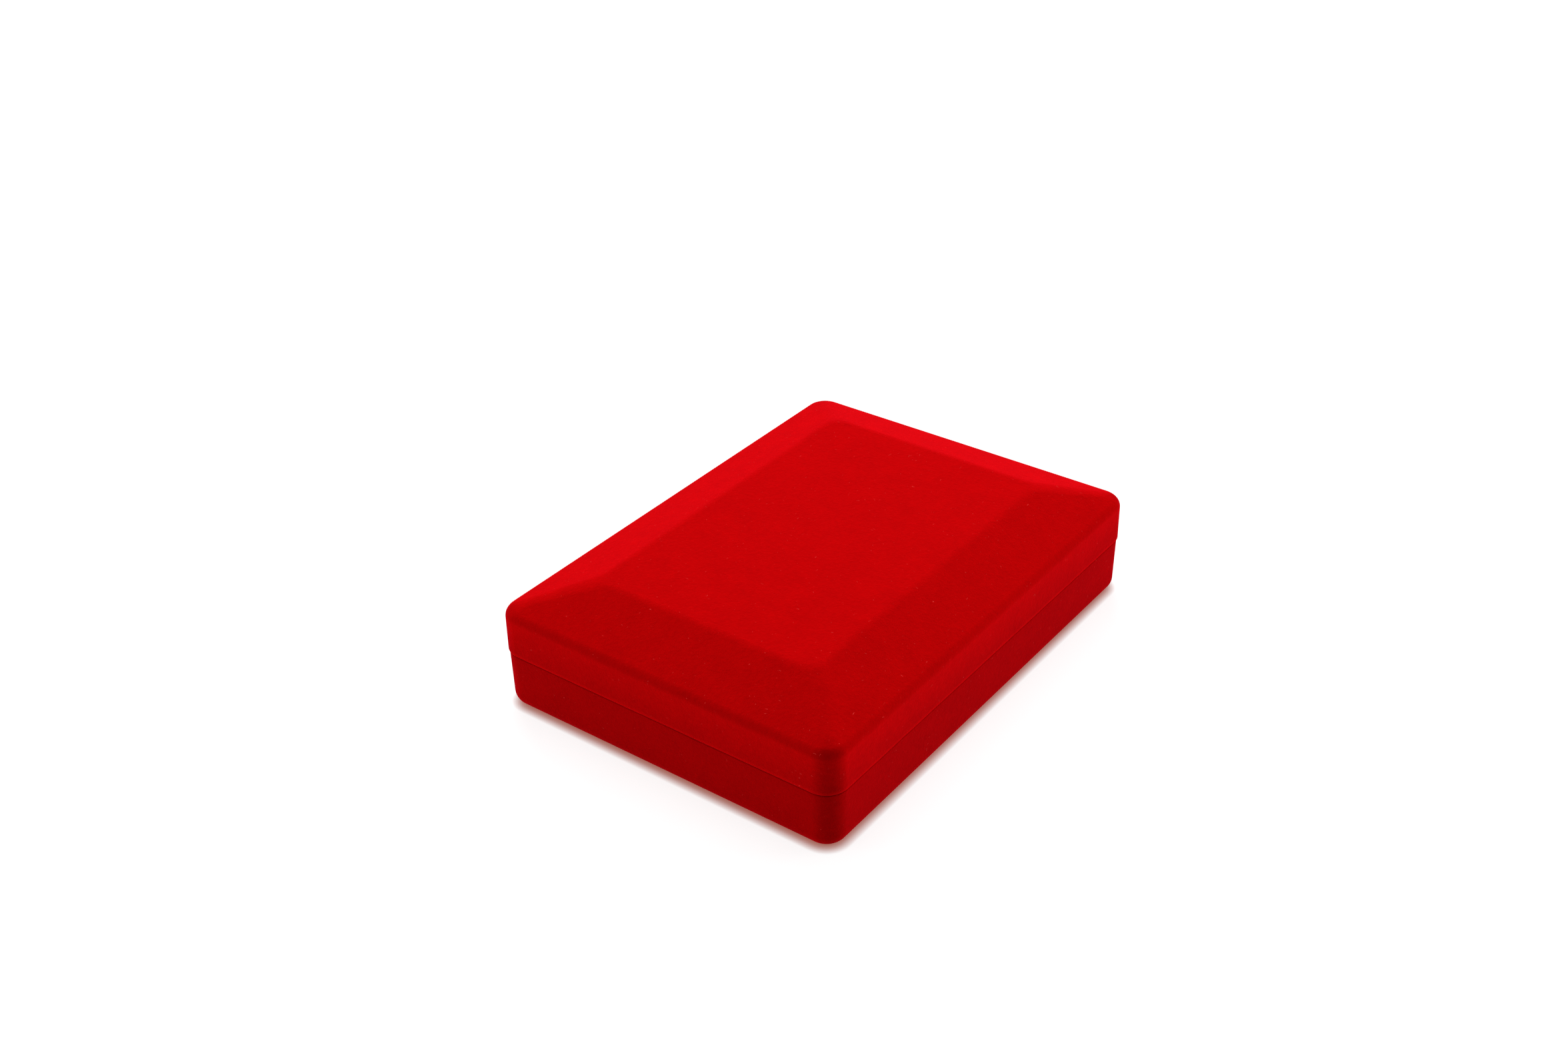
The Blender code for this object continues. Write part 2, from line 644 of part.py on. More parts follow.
def make_cover():
    """Velvet drawn over the foam and down the platform's sides."""
    hem = PLATFORM_FOOT + COVER_HEM_LIFT
    last = CROWN_LAST_INSET
    inner_edge = FOAM_EDGE + SEAT_GAP
    outer_edge = inner_edge + COVER_THICKNESS
    inner = [(COVER_THICKNESS, hem), (COVER_THICKNESS, inner_edge - COVER_EDGE_RADIUS / 2)]
    inner_turn = COVER_THICKNESS + COVER_EDGE_RADIUS / 2
    inner += crown_profile(COVER_THICKNESS, inner[-1][1], inner_turn, COVER_EDGE_RADIUS / 2, 2)
    inner += crown_profile(inner_turn, inner_edge, last, PAD_CROWN, CROWN_STEPS)
    outer = [(0.0, hem), (0.0, outer_edge - COVER_EDGE_RADIUS)]
    outer += crown_profile(0.0, outer[-1][1], COVER_EDGE_RADIUS, COVER_EDGE_RADIUS, FILLET_STEPS)
    outer += crown_profile(COVER_EDGE_RADIUS, outer_edge, last, PAD_CROWN, CROWN_STEPS)
    profile = list(reversed(inner)) + outer
    cover = loft("pad_cover", pad_rings(profile, PAD_OUTER_INSET), parts)
    cut_slits(cover)
    return cover


LINING_INSET = CASE_WALL + LID_TAPER + SEAT_GAP
LINING_CARD_INSET = SATIN_THICKNESS + SEAT_GAP


def lining_top():
    """Height of the lining's back, just under the inner slope where it meets the wall."""
    slope = math.atan2(CASE_HEIGHT - SHOULDER_HEIGHT, PANEL_BORDER - LID_TAPER)
    corner = SHOULDER_HEIGHT + CASE_WALL * math.tan(slope) - CASE_WALL / math.cos(slope)
    return corner - SEAT_GAP


def lining_rings(profile):
    front = -HALF_LENGTH + LINING_INSET
    back = HALF_LENGTH - BASE_INNER_INSET - PAD_BACK_SPACE
    half_x = HALF_WIDTH - LINING_INSET
    half_y = (back - front) / 2
    centre_y = (back + front) / 2
    return soft_rings(profile, half_x, half_y, LINING_CORNER_RADIUS, centre_y)


def hang(profile, top):
    """Turns a profile over, so that what rose from zero now hangs down from the top."""
    return [(inset, top - z) for inset, z in profile]


def make_lining_card():
    """The card that stiffens the lid's lining, wedged under the shoulder."""
    inset = LINING_CARD_INSET
    profile = [(CROWN_LAST_INSET, 0.0), (inset, 0.0), (inset, LINING_CARD), (CROWN_LAST_INSET, LINING_CARD)]
    return loft("lining_card", lining_rings(hang(profile, lining_top())), parts)


def make_wadding():
    """Wadding between the card and the satin, fullest in the middle."""
    inset = LINING_CARD_INSET
    foot = LINING_CARD + SEAT_GAP
    profile = [(CROWN_LAST_INSET, foot), (inset, foot), (inset, foot + WADDING_EDGE)]
    profile += crown_profile(inset, foot + WADDING_EDGE, CROWN_LAST_INSET, LINING_CROWN, CROWN_STEPS)
    return loft("lining_wadding", lining_rings(hang(profile, lining_top())), parts)


def make_satin():
    """Satin stretched over the wadding, its edge turned up round the card."""
    inner_edge = LINING_CARD + SEAT_GAP + WADDING_EDGE + SEAT_GAP
    outer_edge = inner_edge + SATIN_THICKNESS
    last = CROWN_LAST_INSET
    inner = [(SATIN_THICKNESS, 0.0), (SATIN_THICKNESS, inner_edge)]
    inner += crown_profile(SATIN_THICKNESS, inner_edge, last, LINING_CROWN, CROWN_STEPS)
    outer = [(0.0, 0.0), (0.0, outer_edge - SATIN_EDGE_RADIUS)]
    outer += crown_profile(0.0, outer[-1][1], SATIN_EDGE_RADIUS, SATIN_EDGE_RADIUS, FILLET_STEPS)
    outer += crown_profile(SATIN_EDGE_RADIUS, outer_edge, last, LINING_CROWN, CROWN_STEPS)
    profile = list(reversed(inner)) + outer
    return loft("lining_satin", lining_rings(hang(profile, lining_top())), parts)


def finish_piece(obj, material, carrier=None):
    """Gives a piece its material and even shading across its cuts, and hangs it on what carries it."""
    obj.data.materials.clear()
    obj.data.materials.append(material)
    shading = obj.modifiers.new("Even shading", "WEIGHTED_NORMAL")
    shading.keep_sharp = True
    if carrier:
        obj.parent = carrier
        obj.matrix_parent_inverse = carrier.matrix_world.inverted()


def hinge_empty():
    """The empty on the hinge's axis that carries the lid."""
    axis = bpy.data.objects.new("lid_hinge_axis", None)
    parts.objects.link(axis)
    axis.location = (0.0, AXIS_Y, AXIS_Z)
    bpy.context.view_layer.update()
    return axis


clear_scene()
parts = new_collection("pendant_box")
cutters = new_collection("cutters")

flock = new_material("red_flock", CASE_RED, 0.95)
velvet = new_material("red_velvet", PAD_RED, 0.95)
satin = new_material("ivory_satin", SATIN_IVORY, 0.35)
card = new_material("grey_card", CARD_GREY, 0.9)
foam_white = new_material("white_foam", FOAM_WHITE, 0.9)
wadding_white = new_material("white_wadding", WADDING_WHITE, 0.95)
brass = new_material("brassed_steel", HINGE_BRASS, 0.3, 1.0)
steel = new_material("spring_steel", SPRING_STEEL, 0.35, 1.0)

finish_piece(make_base_shell(), flock)
finish_piece(make_base_leaf(), brass)
finish_piece(make_pin(), steel)
finish_piece(make_spring(), steel)
finish_piece(make_rivet(), brass)
finish_piece(make_platform(), card)
finish_piece(make_foam(), foam_white)
finish_piece(make_cover(), velvet)

lid_axis = hinge_empty()
finish_piece(make_lid_shell(), flock, lid_axis)
finish_piece(make_lid_leaf(), brass, lid_axis)
finish_piece(make_lining_card(), card, lid_axis)
finish_piece(make_wadding(), wadding_white, lid_axis)
finish_piece(make_satin(), satin, lid_axis)
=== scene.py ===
import math
from functools import partial

import bmesh
import bpy
from mathutils import Matrix, Vector, noise


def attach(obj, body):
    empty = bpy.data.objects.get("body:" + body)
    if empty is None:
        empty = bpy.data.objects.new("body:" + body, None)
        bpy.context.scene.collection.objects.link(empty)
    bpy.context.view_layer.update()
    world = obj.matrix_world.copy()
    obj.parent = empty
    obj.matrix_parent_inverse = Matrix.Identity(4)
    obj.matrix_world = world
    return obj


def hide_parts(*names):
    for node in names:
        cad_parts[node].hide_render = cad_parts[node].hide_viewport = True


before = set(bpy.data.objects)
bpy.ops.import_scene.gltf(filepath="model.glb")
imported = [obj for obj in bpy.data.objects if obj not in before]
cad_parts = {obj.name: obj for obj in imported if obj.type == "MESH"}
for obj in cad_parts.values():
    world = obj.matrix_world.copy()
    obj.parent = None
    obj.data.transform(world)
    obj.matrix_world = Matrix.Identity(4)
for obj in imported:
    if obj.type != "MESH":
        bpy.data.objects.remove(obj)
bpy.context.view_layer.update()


# The camera stands where the photograph was taken from: in front of the box, turned to its right and looking
# down on its lid. The angles, the distance and the lens come from fitting the box to the photograph's lines.
PHOTO_WIDTH = 2352
FOCAL_PIXELS = 2771.45
SENSOR_WIDTH = 36.0
CAMERA_AZIMUTH = math.radians(36.984)
CAMERA_ELEVATION = math.radians(31.568)
CAMERA_ROLL = math.radians(-1.069)
CAMERA_DISTANCE = 0.33049
AIM_HEIGHT = 0.011875
AIM_ACROSS = 0.007443
AIM_UP = -0.01128
CLIP_START = 0.01
CLIP_END = 20.0


def added(name, data):
    """A new object with this data, in the scene."""
    obj = bpy.data.objects.new(name, data)
    bpy.context.scene.collection.objects.link(obj)
    return obj


back = Vector((
    math.sin(CAMERA_AZIMUTH) * math.cos(CAMERA_ELEVATION),
    -math.cos(CAMERA_AZIMUTH) * math.cos(CAMERA_ELEVATION),
    math.sin(CAMERA_ELEVATION),
))
level = Vector((math.cos(CAMERA_AZIMUTH), math.sin(CAMERA_AZIMUTH), 0.0))
roll = Matrix.Rotation(CAMERA_ROLL, 3, back)
across = roll @ level
upward = roll @ back.cross(level)
camera = added("camera", bpy.data.cameras.new("camera"))
camera.data.sensor_width = SENSOR_WIDTH
camera.data.lens = SENSOR_WIDTH * FOCAL_PIXELS / PHOTO_WIDTH
camera.data.clip_start = CLIP_START
camera.data.clip_end = CLIP_END
place = Vector((0.0, 0.0, AIM_HEIGHT)) + back * CAMERA_DISTANCE - across * AIM_ACROSS - upward * AIM_UP
turned = Matrix((across, upward, back)).transposed().to_4x4()
camera.matrix_world = Matrix.Translation(place) @ turned
bpy.context.scene.camera = camera
bpy.context.scene.view_settings.view_transform = "Standard"


# The studio: a plain white table that runs out of sight, and soft lamps. The camera, and reflections of the room,
# see the table and the room as plain white; the table still takes the box's shadow from the lamps, and close round
# the box its glow is dimmed to a warm red: a painted contact shadow with painted red bounce light.
FLOOR_SIZE = 6.0
FLOOR_DROP = 0.00002
FLOOR_WHITE = (0.86, 0.86, 0.86, 1.0)
FLOOR_UNDER_GLOW = (0.40, 0.40, 0.40, 1.0)
FLOOR_GLOW = 0.79
# The painted contact shadow round the box's foot: its reach, how sharply it fades, and its warm red painted bounce.
CONTACT_REACH = 0.0017
CONTACT_SHARPNESS = 2.0
CONTACT_SAMPLES = 16
PAINTED_SHADOW_TINT = (0.38, 0.10, 0.06, 1.0)
WHITE = (1.0, 1.0, 1.0, 1.0)
ROOM_STRENGTH = 0.22
SEEN_STRENGTH = 1.0


def feed(tree, socket, value):
    """Links an output to a socket, or else sets the socket's own value."""
    if isinstance(value, bpy.types.NodeSocket):
        tree.links.new(value, socket)
    elif value is not None:
        socket.default_value = value


def place_node(tree, kind, inputs=None, **settings):
    """Adds a node, chooses its settings, and feeds its inputs by name or number."""
    node = tree.nodes.new(kind)
    for name, setting in settings.items():
        setattr(node, name, setting)
    for name, value in (inputs or {}).items():
        feed(tree, node.inputs[name], value)
    return node


def maths(tree, operation, *values, kind="ShaderNodeMath"):
    """Adds one step of arithmetic, on numbers or else on vectors, and gives its result."""
    node = place_node(tree, kind, operation=operation)
    for socket, value in zip(node.inputs, values):
        feed(tree, socket, value)
    return node.outputs[0]


def colour_between(tree, share, first, second):
    """The first colour, with a share of the second mixed in."""
    return place_node(tree, "ShaderNodeMix", {"Factor": share, 6: first, 7: second}, data_type="RGBA").outputs[2]


def seen_by_eye(tree):
    """One where the camera, a reflection or a view through glass looks, and zero for other light."""
    path = tree.nodes.new("ShaderNodeLightPath").outputs
    either = maths(tree, "MAXIMUM", path["Is Camera Ray"], path["Is Glossy Ray"])
    return maths(tree, "MAXIMUM", either, path["Is Transmission Ray"])


def new_tree(painted):
    painted.use_nodes = True
    painted.node_tree.nodes.clear()
    return painted.node_tree


def new_material(name):
    material = bpy.data.materials.new(name)
    return material, new_tree(material)


floor_paint, tree = new_material("white_table")
by_eye = seen_by_eye(tree)
matt = place_node(tree, "ShaderNodeBsdfDiffuse", {
    "Color": colour_between(tree, by_eye, FLOOR_WHITE, FLOOR_UNDER_GLOW)})
# Close to the box, ambient occlusion dims the table's glow towards a warm red: a painted contact shadow.
open_above = place_node(tree, "ShaderNodeAmbientOcclusion", {"Distance": CONTACT_REACH}, samples=CONTACT_SAMPLES)
free_of_painted_shadow = maths(tree, "POWER", open_above.outputs["AO"], CONTACT_SHARPNESS)
glow = place_node(tree, "ShaderNodeEmission", {
    "Color": colour_between(tree, free_of_painted_shadow, PAINTED_SHADOW_TINT, WHITE),
    "Strength": maths(tree, "MULTIPLY", by_eye, FLOOR_GLOW)})
both = place_node(tree, "ShaderNodeAddShader", {0: matt.outputs[0], 1: glow.outputs[0]})
place_node(tree, "ShaderNodeOutputMaterial", {"Surface": both.outputs[0]})
bpy.ops.mesh.primitive_plane_add(size=FLOOR_SIZE, location=(0.0, 0.0, -FLOOR_DROP))
floor = bpy.context.object
floor.name = "table"
floor.data.materials.append(floor_paint)

room = bpy.data.worlds.new("room")
bpy.context.scene.world = room
tree = new_tree(room)
dim = place_node(tree, "ShaderNodeBackground", {"Color": WHITE, "Strength": ROOM_STRENGTH})
plain = place_node(tree, "ShaderNodeBackground", {"Color": WHITE, "Strength": SEEN_STRENGTH})
mixed = place_node(tree, "ShaderNodeMixShader", {0: seen_by_eye(tree), 1: dim.outputs[0], 2: plain.outputs[0]})
place_node(tree, "ShaderNodeOutputWorld", {"Surface": mixed.outputs[0]})


def soft_lamp(name, place, size, power):
    """A square softbox that faces the box and isn't seen itself."""
    lamp = added(name, bpy.data.lights.new(name, "AREA"))
    lamp.data.size = size
    lamp.data.energy = power
    lamp.location = place
    lamp.rotation_euler = (-Vector(place)).to_track_quat("-Z", "Y").to_euler()
    lamp.visible_camera = False


soft_lamp("lamp_above", (0.0, 0.1, 1.2), 1.0, 6.35)
soft_lamp("lamp_left_behind", (-0.778, 0.778, 0.70), 0.8, 6.0)
soft_lamp("lamp_right_behind", (0.778, 0.778, 0.25), 0.5, 2.9)
soft_lamp("lamp_left_front", (-0.778, -0.778, 0.25), 0.5, 2.3)


# The lower half of the case: one moulded plastic shell with a rounded foot, flocked outside in red, its short pile
# wrapped over the edge of the opening. Inside it is bare plastic, with a locating rim, and pegs for the hinge.
CASE_LENGTH = 0.0950
CASE_WIDTH = 0.0700
CASE_HEIGHT = 0.0234
SEAM_HEIGHT = 0.0112
SEAM_GAP = 0.0003
SEAT_GAP = 0.0003
PLAN_RADIUS = 0.0042
LEAST_RADIUS = 0.0012
FOOT_RADIUS = 0.0026
WALL = 0.0015
LIP_OVERHANG = 0.0002
BASE_TAPER = 0.00015
LIP_RADIUS = 0.00027
PILE_FILL = 0.00009
INNER_LIP_RADIUS = 0.00012
LIP_WAVINESS = 0.00007
WAVE_SIZE = 0.0050
RIM_THICKNESS = 0.0008
RIM_HEIGHT = 0.0014
RIM_ROOT_DEPTH = 0.0022
RIM_BACK_END = 0.0050
RIM_LEAD_IN = 0.0004
RIM_CHAMFER = 0.0002
RIM_BURIED = 0.00095
LONGEST_RUN = 0.0022
CORNER_STEPS = 16
SIDE_STEPS = 40
TURN_STEPS = 10
LIP_STEPS = 6
INNER_LIP_STEPS = 3
INNER_LIP_WAVE = 0.3
MOSTLY_BARE = 0.6
OVERRUN = 0.0020
MERGE_DISTANCE = 0.000001
SMOOTH_ANGLE = math.radians(38.0)
HALF_WIDTH = CASE_WIDTH / 2
HALF_LENGTH = CASE_LENGTH / 2
FLOCK_RED = (0.95, 0.0015, 0.0019)
# The lower shell's flock: the lid's red, a fifth darker.
LOWER_FLOCK_RED = (0.76, 0.0012, 0.0015)
FLOCK_END_ON = 0.45
FLOCK_SHEEN_RED = (1.0, 0.09, 0.24, 1.0)
FLOCK_SHEEN = 0.10
FLOCK_RELIEF = (0.5, 0.00008)
FLOCK_GRAIN = (0.00075, 0.24)
FLOCK_CLOUDS = (0.0042, 0.20)
SHOULDER_FADE = (-0.0013, -0.0003)
WALL_TOP_FADE = (-0.0004, 0.0006)
# Painted shade at the lower shell's corners.
LOWER_CORNER_SHADE = 0.09
LINT_COLOUR = (1.0, 0.075, 0.065, 1.0)
LINT_SPACING = 0.0012
LINT_SPECKS = (1.0, 0.072, 0.75)
LINT_HAIRS = (0.70, 0.078, 0.70)
HAIR_STRETCH = 0.16
BARE_RED = (0.42, 0.0042, 0.006)


def group_with(name, kind, inputs, outputs):
    """A node group with named inputs and outputs, and what comes in at those inputs."""
    group = bpy.data.node_groups.new(name, kind)
    for way, sockets in (("INPUT", inputs), ("OUTPUT", outputs)):
        for socket, value_kind in sockets.items():
            group.interface.new_socket(socket, in_out=way, socket_type="NodeSocket" + value_kind)
    return group, group.nodes.new("NodeGroupInput").outputs


def arithmetic(tree):
    """Adding, subtracting, multiplying and dividing in one tree."""
    return [partial(maths, tree, operation) for operation in ("ADD", "SUBTRACT", "MULTIPLY", "DIVIDE")]


def scaled(tree, vector, amount):
    return place_node(tree, "ShaderNodeVectorMath", {0: vector, "Scale": amount}, operation="SCALE").outputs[0]


def ranged(tree, value, start, end, low=0.0, high=1.0, kind="LINEAR"):
    """The value moved from one range to another, and held at the ends of that."""
    return place_node(tree, "ShaderNodeMapRange", {
        "Value": value, "From Min": start, "From Max": end, "To Min": low, "To Max": high},
        interpolation_type=kind).outputs[0]


def noise_at(tree, spot, scale, detail=None, roughness=None):
    """Noise over the surface, as a level and as a colour."""
    return place_node(tree, "ShaderNodeTexNoise", {
        "Vector": spot, "Scale": scale, "Detail": detail, "Roughness": roughness}).outputs


def stretched(tree, spot, turn=None, stretch=None):
    """A place on the surface, turned and stretched for a pattern that lies one way."""
    return place_node(tree, "ShaderNodeMapping", {"Vector": spot, "Rotation": turn, "Scale": stretch}).outputs[0]


def cells_at(tree, spot, scale):
    return place_node(tree, "ShaderNodeTexVoronoi", {"Vector": spot, "Scale": scale}).outputs


def raised(tree, height, strength, depth):
    """The normal of a surface with fine relief."""
    return place_node(tree, "ShaderNodeBump", {"Strength": strength, "Distance": depth, "Height": height}).outputs[0]


def one_finish(tree, looks):
    """Ends a material that is the same kind of finish all over."""
    shader = place_node(tree, "ShaderNodeBsdfPrincipled", looks)
    place_node(tree, "ShaderNodeOutputMaterial", {"Surface": shader.outputs[0]})


def flock_nap_group():
    """The look of short flocked pile: fibre grain, faint clouds where it lies unevenly, and a little lint. Over that
    go painted light and shade: a painted highlight in a ragged line along the edge of the opening, a wall painted
    paler upwards, and painted shade on the shoulder and at the corners. The pile's ends are a darker share of the
    colour that its sides show."""
    group, given = group_with("Flock nap", "ShaderNodeTree", {
        "Colour": "Color", "End Share": "Float", "Grain Size": "Float", "Grain Contrast": "Float",
        "Cloud Size": "Float", "Cloud Contrast": "Float", "Edge Height": "Float", "Edge Width": "Float",
        "Edge Highlight Gain": "Float", "Wall Foot": "Float", "Wall Top": "Float", "Wall Shade Gain": "Float",
        "Shoulder Shade": "Float", "Corner X": "Float", "Corner Y": "Float", "Corner Radius": "Float",
        "Corner Shade": "Float", "Lint Colour": "Color", "Lint Spacing": "Float",
    }, {"Colour": "Color", "Ends": "Color", "Height": "Float"})
    sum_of, less, times, over = arithmetic(group)
    spot = group.nodes.new("ShaderNodeTexCoord").outputs["Object"]

    def around_zero(value, contrast):
        return times(less(value, 0.5), contrast)

    grains = over(1.0, given["Grain Size"])
    grain = noise_at(group, spot, grains, 3.0, 0.55)["Fac"]
    fibres = cells_at(group, spot, times(grains, 1.7))["Distance"]
    clouds = noise_at(group, spot, over(1.0, given["Cloud Size"]), 4.0, 0.6)["Fac"]
    x, y, z = place_node(group, "ShaderNodeSeparateXYZ", {0: spot}).outputs
    # A painted highlight: a ragged lighter line along the edge of the opening.
    ragged = sum_of(over(less(z, given["Edge Height"]), given["Edge Width"]), around_zero(grain, 1.2))
    on_edge_highlight = ranged(group, ragged, 1.0, 0.45, kind="SMOOTHSTEP")
    # Painted light and shade: the wall is painted paler upwards, towards the shoulder.
    up_wall = ranged(group, z, given["Wall Foot"], given["Wall Top"])
    above_wall = less(z, given["Wall Top"])
    past_wall = ranged(group, above_wall, *WALL_TOP_FADE, 1.0, 0.0)
    # Painted shade along the shoulder.
    on_shoulder = times(ranged(group, above_wall, *SHOULDER_FADE, kind="SMOOTHSTEP"), past_wall)
    # Painted shade at the upright corners of the case.
    past_x = less(maths(group, "ABSOLUTE", x), given["Corner X"])
    past_y = less(maths(group, "ABSOLUTE", y), given["Corner Y"])
    round_corner = over(maths(group, "MINIMUM", past_x, past_y), given["Corner Radius"])
    on_corner = ranged(group, round_corner, 0.0, 0.6, kind="SMOOTHSTEP")
    level_of_colour = sum_of(around_zero(grain, given["Grain Contrast"]), 1.0)
    for more in (
        around_zero(clouds, given["Cloud Contrast"]),
        times(on_edge_highlight, given["Edge Highlight Gain"]),
        times(around_zero(up_wall, given["Wall Shade Gain"]), past_wall),
        times(on_shoulder, times(given["Shoulder Shade"], -1.0)),
        times(on_corner, times(given["Corner Shade"], -1.0)),
    ):
        level_of_colour = sum_of(level_of_colour, more)
    sides = scaled(group, given["Colour"], level_of_colour)
    ends = scaled(group, sides, given["End Share"])

    def lint(stretch, turn, cell_share, radius, strongest):
        """Specks, or short bent hairs where the cells are stretched along one direction. The cells are a share of
        the spacing, the radius is a share of a cell, and the last number is how strong the palest speck is."""
        cell = times(given["Lint Spacing"], cell_share)
        bent = noise_at(group, spot, over(1.1, cell))["Color"]
        bent = maths(group, "SUBTRACT", bent, (0.5, 0.5, 0.5), kind="ShaderNodeVectorMath")
        moved = maths(group, "ADD", spot, scaled(group, bent, times(cell, 0.9)), kind="ShaderNodeVectorMath")
        cells = cells_at(group, stretched(group, moved, turn, stretch), over(1.0, cell))
        near = ranged(group, cells["Distance"], radius, radius * 0.5)
        chance = place_node(group, "ShaderNodeSeparateColor", {0: cells["Color"]}).outputs[0]
        return times(near, times(maths(group, "POWER", chance, 3.0), strongest))

    dust = lint((1.0, 1.0, 1.0), (0.0, 0.0, 0.0), *LINT_SPECKS)
    for stretch, turn in (
        ((1.0, HAIR_STRETCH, 1.0), (0.2, 0.1, 0.7)),
        ((HAIR_STRETCH, 1.0, 1.0), (0.1, 0.3, 0.2)),
        ((1.0, 1.0, HAIR_STRETCH), (0.1, 0.6, 0.4)),
    ):
        dust = maths(group, "MAXIMUM", dust, lint(stretch, turn, *LINT_HAIRS))
    place_node(group, "NodeGroupOutput", {
        "Colour": colour_between(group, dust, sides, given["Lint Colour"]),
        "Ends": colour_between(group, dust, ends, given["Lint Colour"]),
        "Height": less(grain, times(fibres, 0.5))})
    return group


flock_nap = flock_nap_group()


def flock_material(name, colour, end_on, sheen, grain, cloud, edge=(0.0, 1.0, 0.0), wall=(0.0, 1.0, 0.0),
                   shaded=(0.0, 0.0)):
    """Flocked pile: matt, and it shines paler towards its outline, where the standing pile shows its sides and not
    its dark ends. The grain and the clouds are (size, contrast), the edge is (height, width, gain) of a painted
    highlight along the opening, the wall is (foot, top, gain) of painting it paler upwards, and the last pair says how
    much painted shade darkens the shoulder and the corners."""
    material, tree = new_material(name)
    nap = place_node(tree, "ShaderNodeGroup", {
        "Colour": (*colour, 1.0), "End Share": end_on,
        "Grain Size": grain[0], "Grain Contrast": grain[1],
        "Cloud Size": cloud[0], "Cloud Contrast": cloud[1],
        "Edge Height": edge[0], "Edge Width": edge[1], "Edge Highlight Gain": edge[2],
        "Wall Foot": wall[0], "Wall Top": wall[1], "Wall Shade Gain": wall[2],
        "Shoulder Shade": shaded[0], "Corner Shade": shaded[1],
        "Corner X": HALF_WIDTH - PLAN_RADIUS, "Corner Y": HALF_LENGTH - PLAN_RADIUS, "Corner Radius": PLAN_RADIUS,
        "Lint Colour": LINT_COLOUR, "Lint Spacing": LINT_SPACING,
    }, node_tree=flock_nap).outputs
    normal = raised(tree, nap["Height"], *FLOCK_RELIEF)
    ends, sides = [place_node(tree, "ShaderNodeBsdfPrincipled", {
        "Base Color": seen, "Roughness": 0.92, "Specular IOR Level": 0.0, "Sheen Weight": sheen,
        "Sheen Roughness": 0.4, "Sheen Tint": FLOCK_SHEEN_RED, "Normal": normal}).outputs[0]
        for seen in (nap["Ends"], nap["Colour"])]
    turned_away = place_node(tree, "ShaderNodeLayerWeight", {"Blend": 0.5, "Normal": normal}).outputs["Facing"]
    pile = place_node(tree, "ShaderNodeMixShader", {0: turned_away, 1: ends, 2: sides})
    place_node(tree, "ShaderNodeOutputMaterial", {"Surface": pile.outputs[0]})
    return material


def bare_plastic_material():
    """Moulded plastic where the flock stops: dull, with faint flow marks and fine scuffs."""
    material, tree = new_material("bare_red_plastic")
    spot = tree.nodes.new("ShaderNodeTexCoord").outputs["Object"]
    flow = noise_at(tree, spot, 260.0, 4.0)["Fac"]
    scuffs = noise_at(tree, spot, 2600.0, 2.0)["Fac"]
    one_finish(tree, {
        "Base Color": scaled(tree, BARE_RED, ranged(tree, flow, 0.0, 1.0, 0.82, 1.18)),
        "Roughness": ranged(tree, flow, 0.0, 1.0, 0.50, 0.72), "Specular IOR Level": 0.28,
        "Normal": raised(tree, scuffs, 0.25, 0.00003)})
    return material


flock_base = flock_material(
    "red_flock_base", LOWER_FLOCK_RED, FLOCK_END_ON, FLOCK_SHEEN, FLOCK_GRAIN, FLOCK_CLOUDS,
    shaded=(0.0, LOWER_CORNER_SHADE))
bare_plastic = bare_plastic_material()


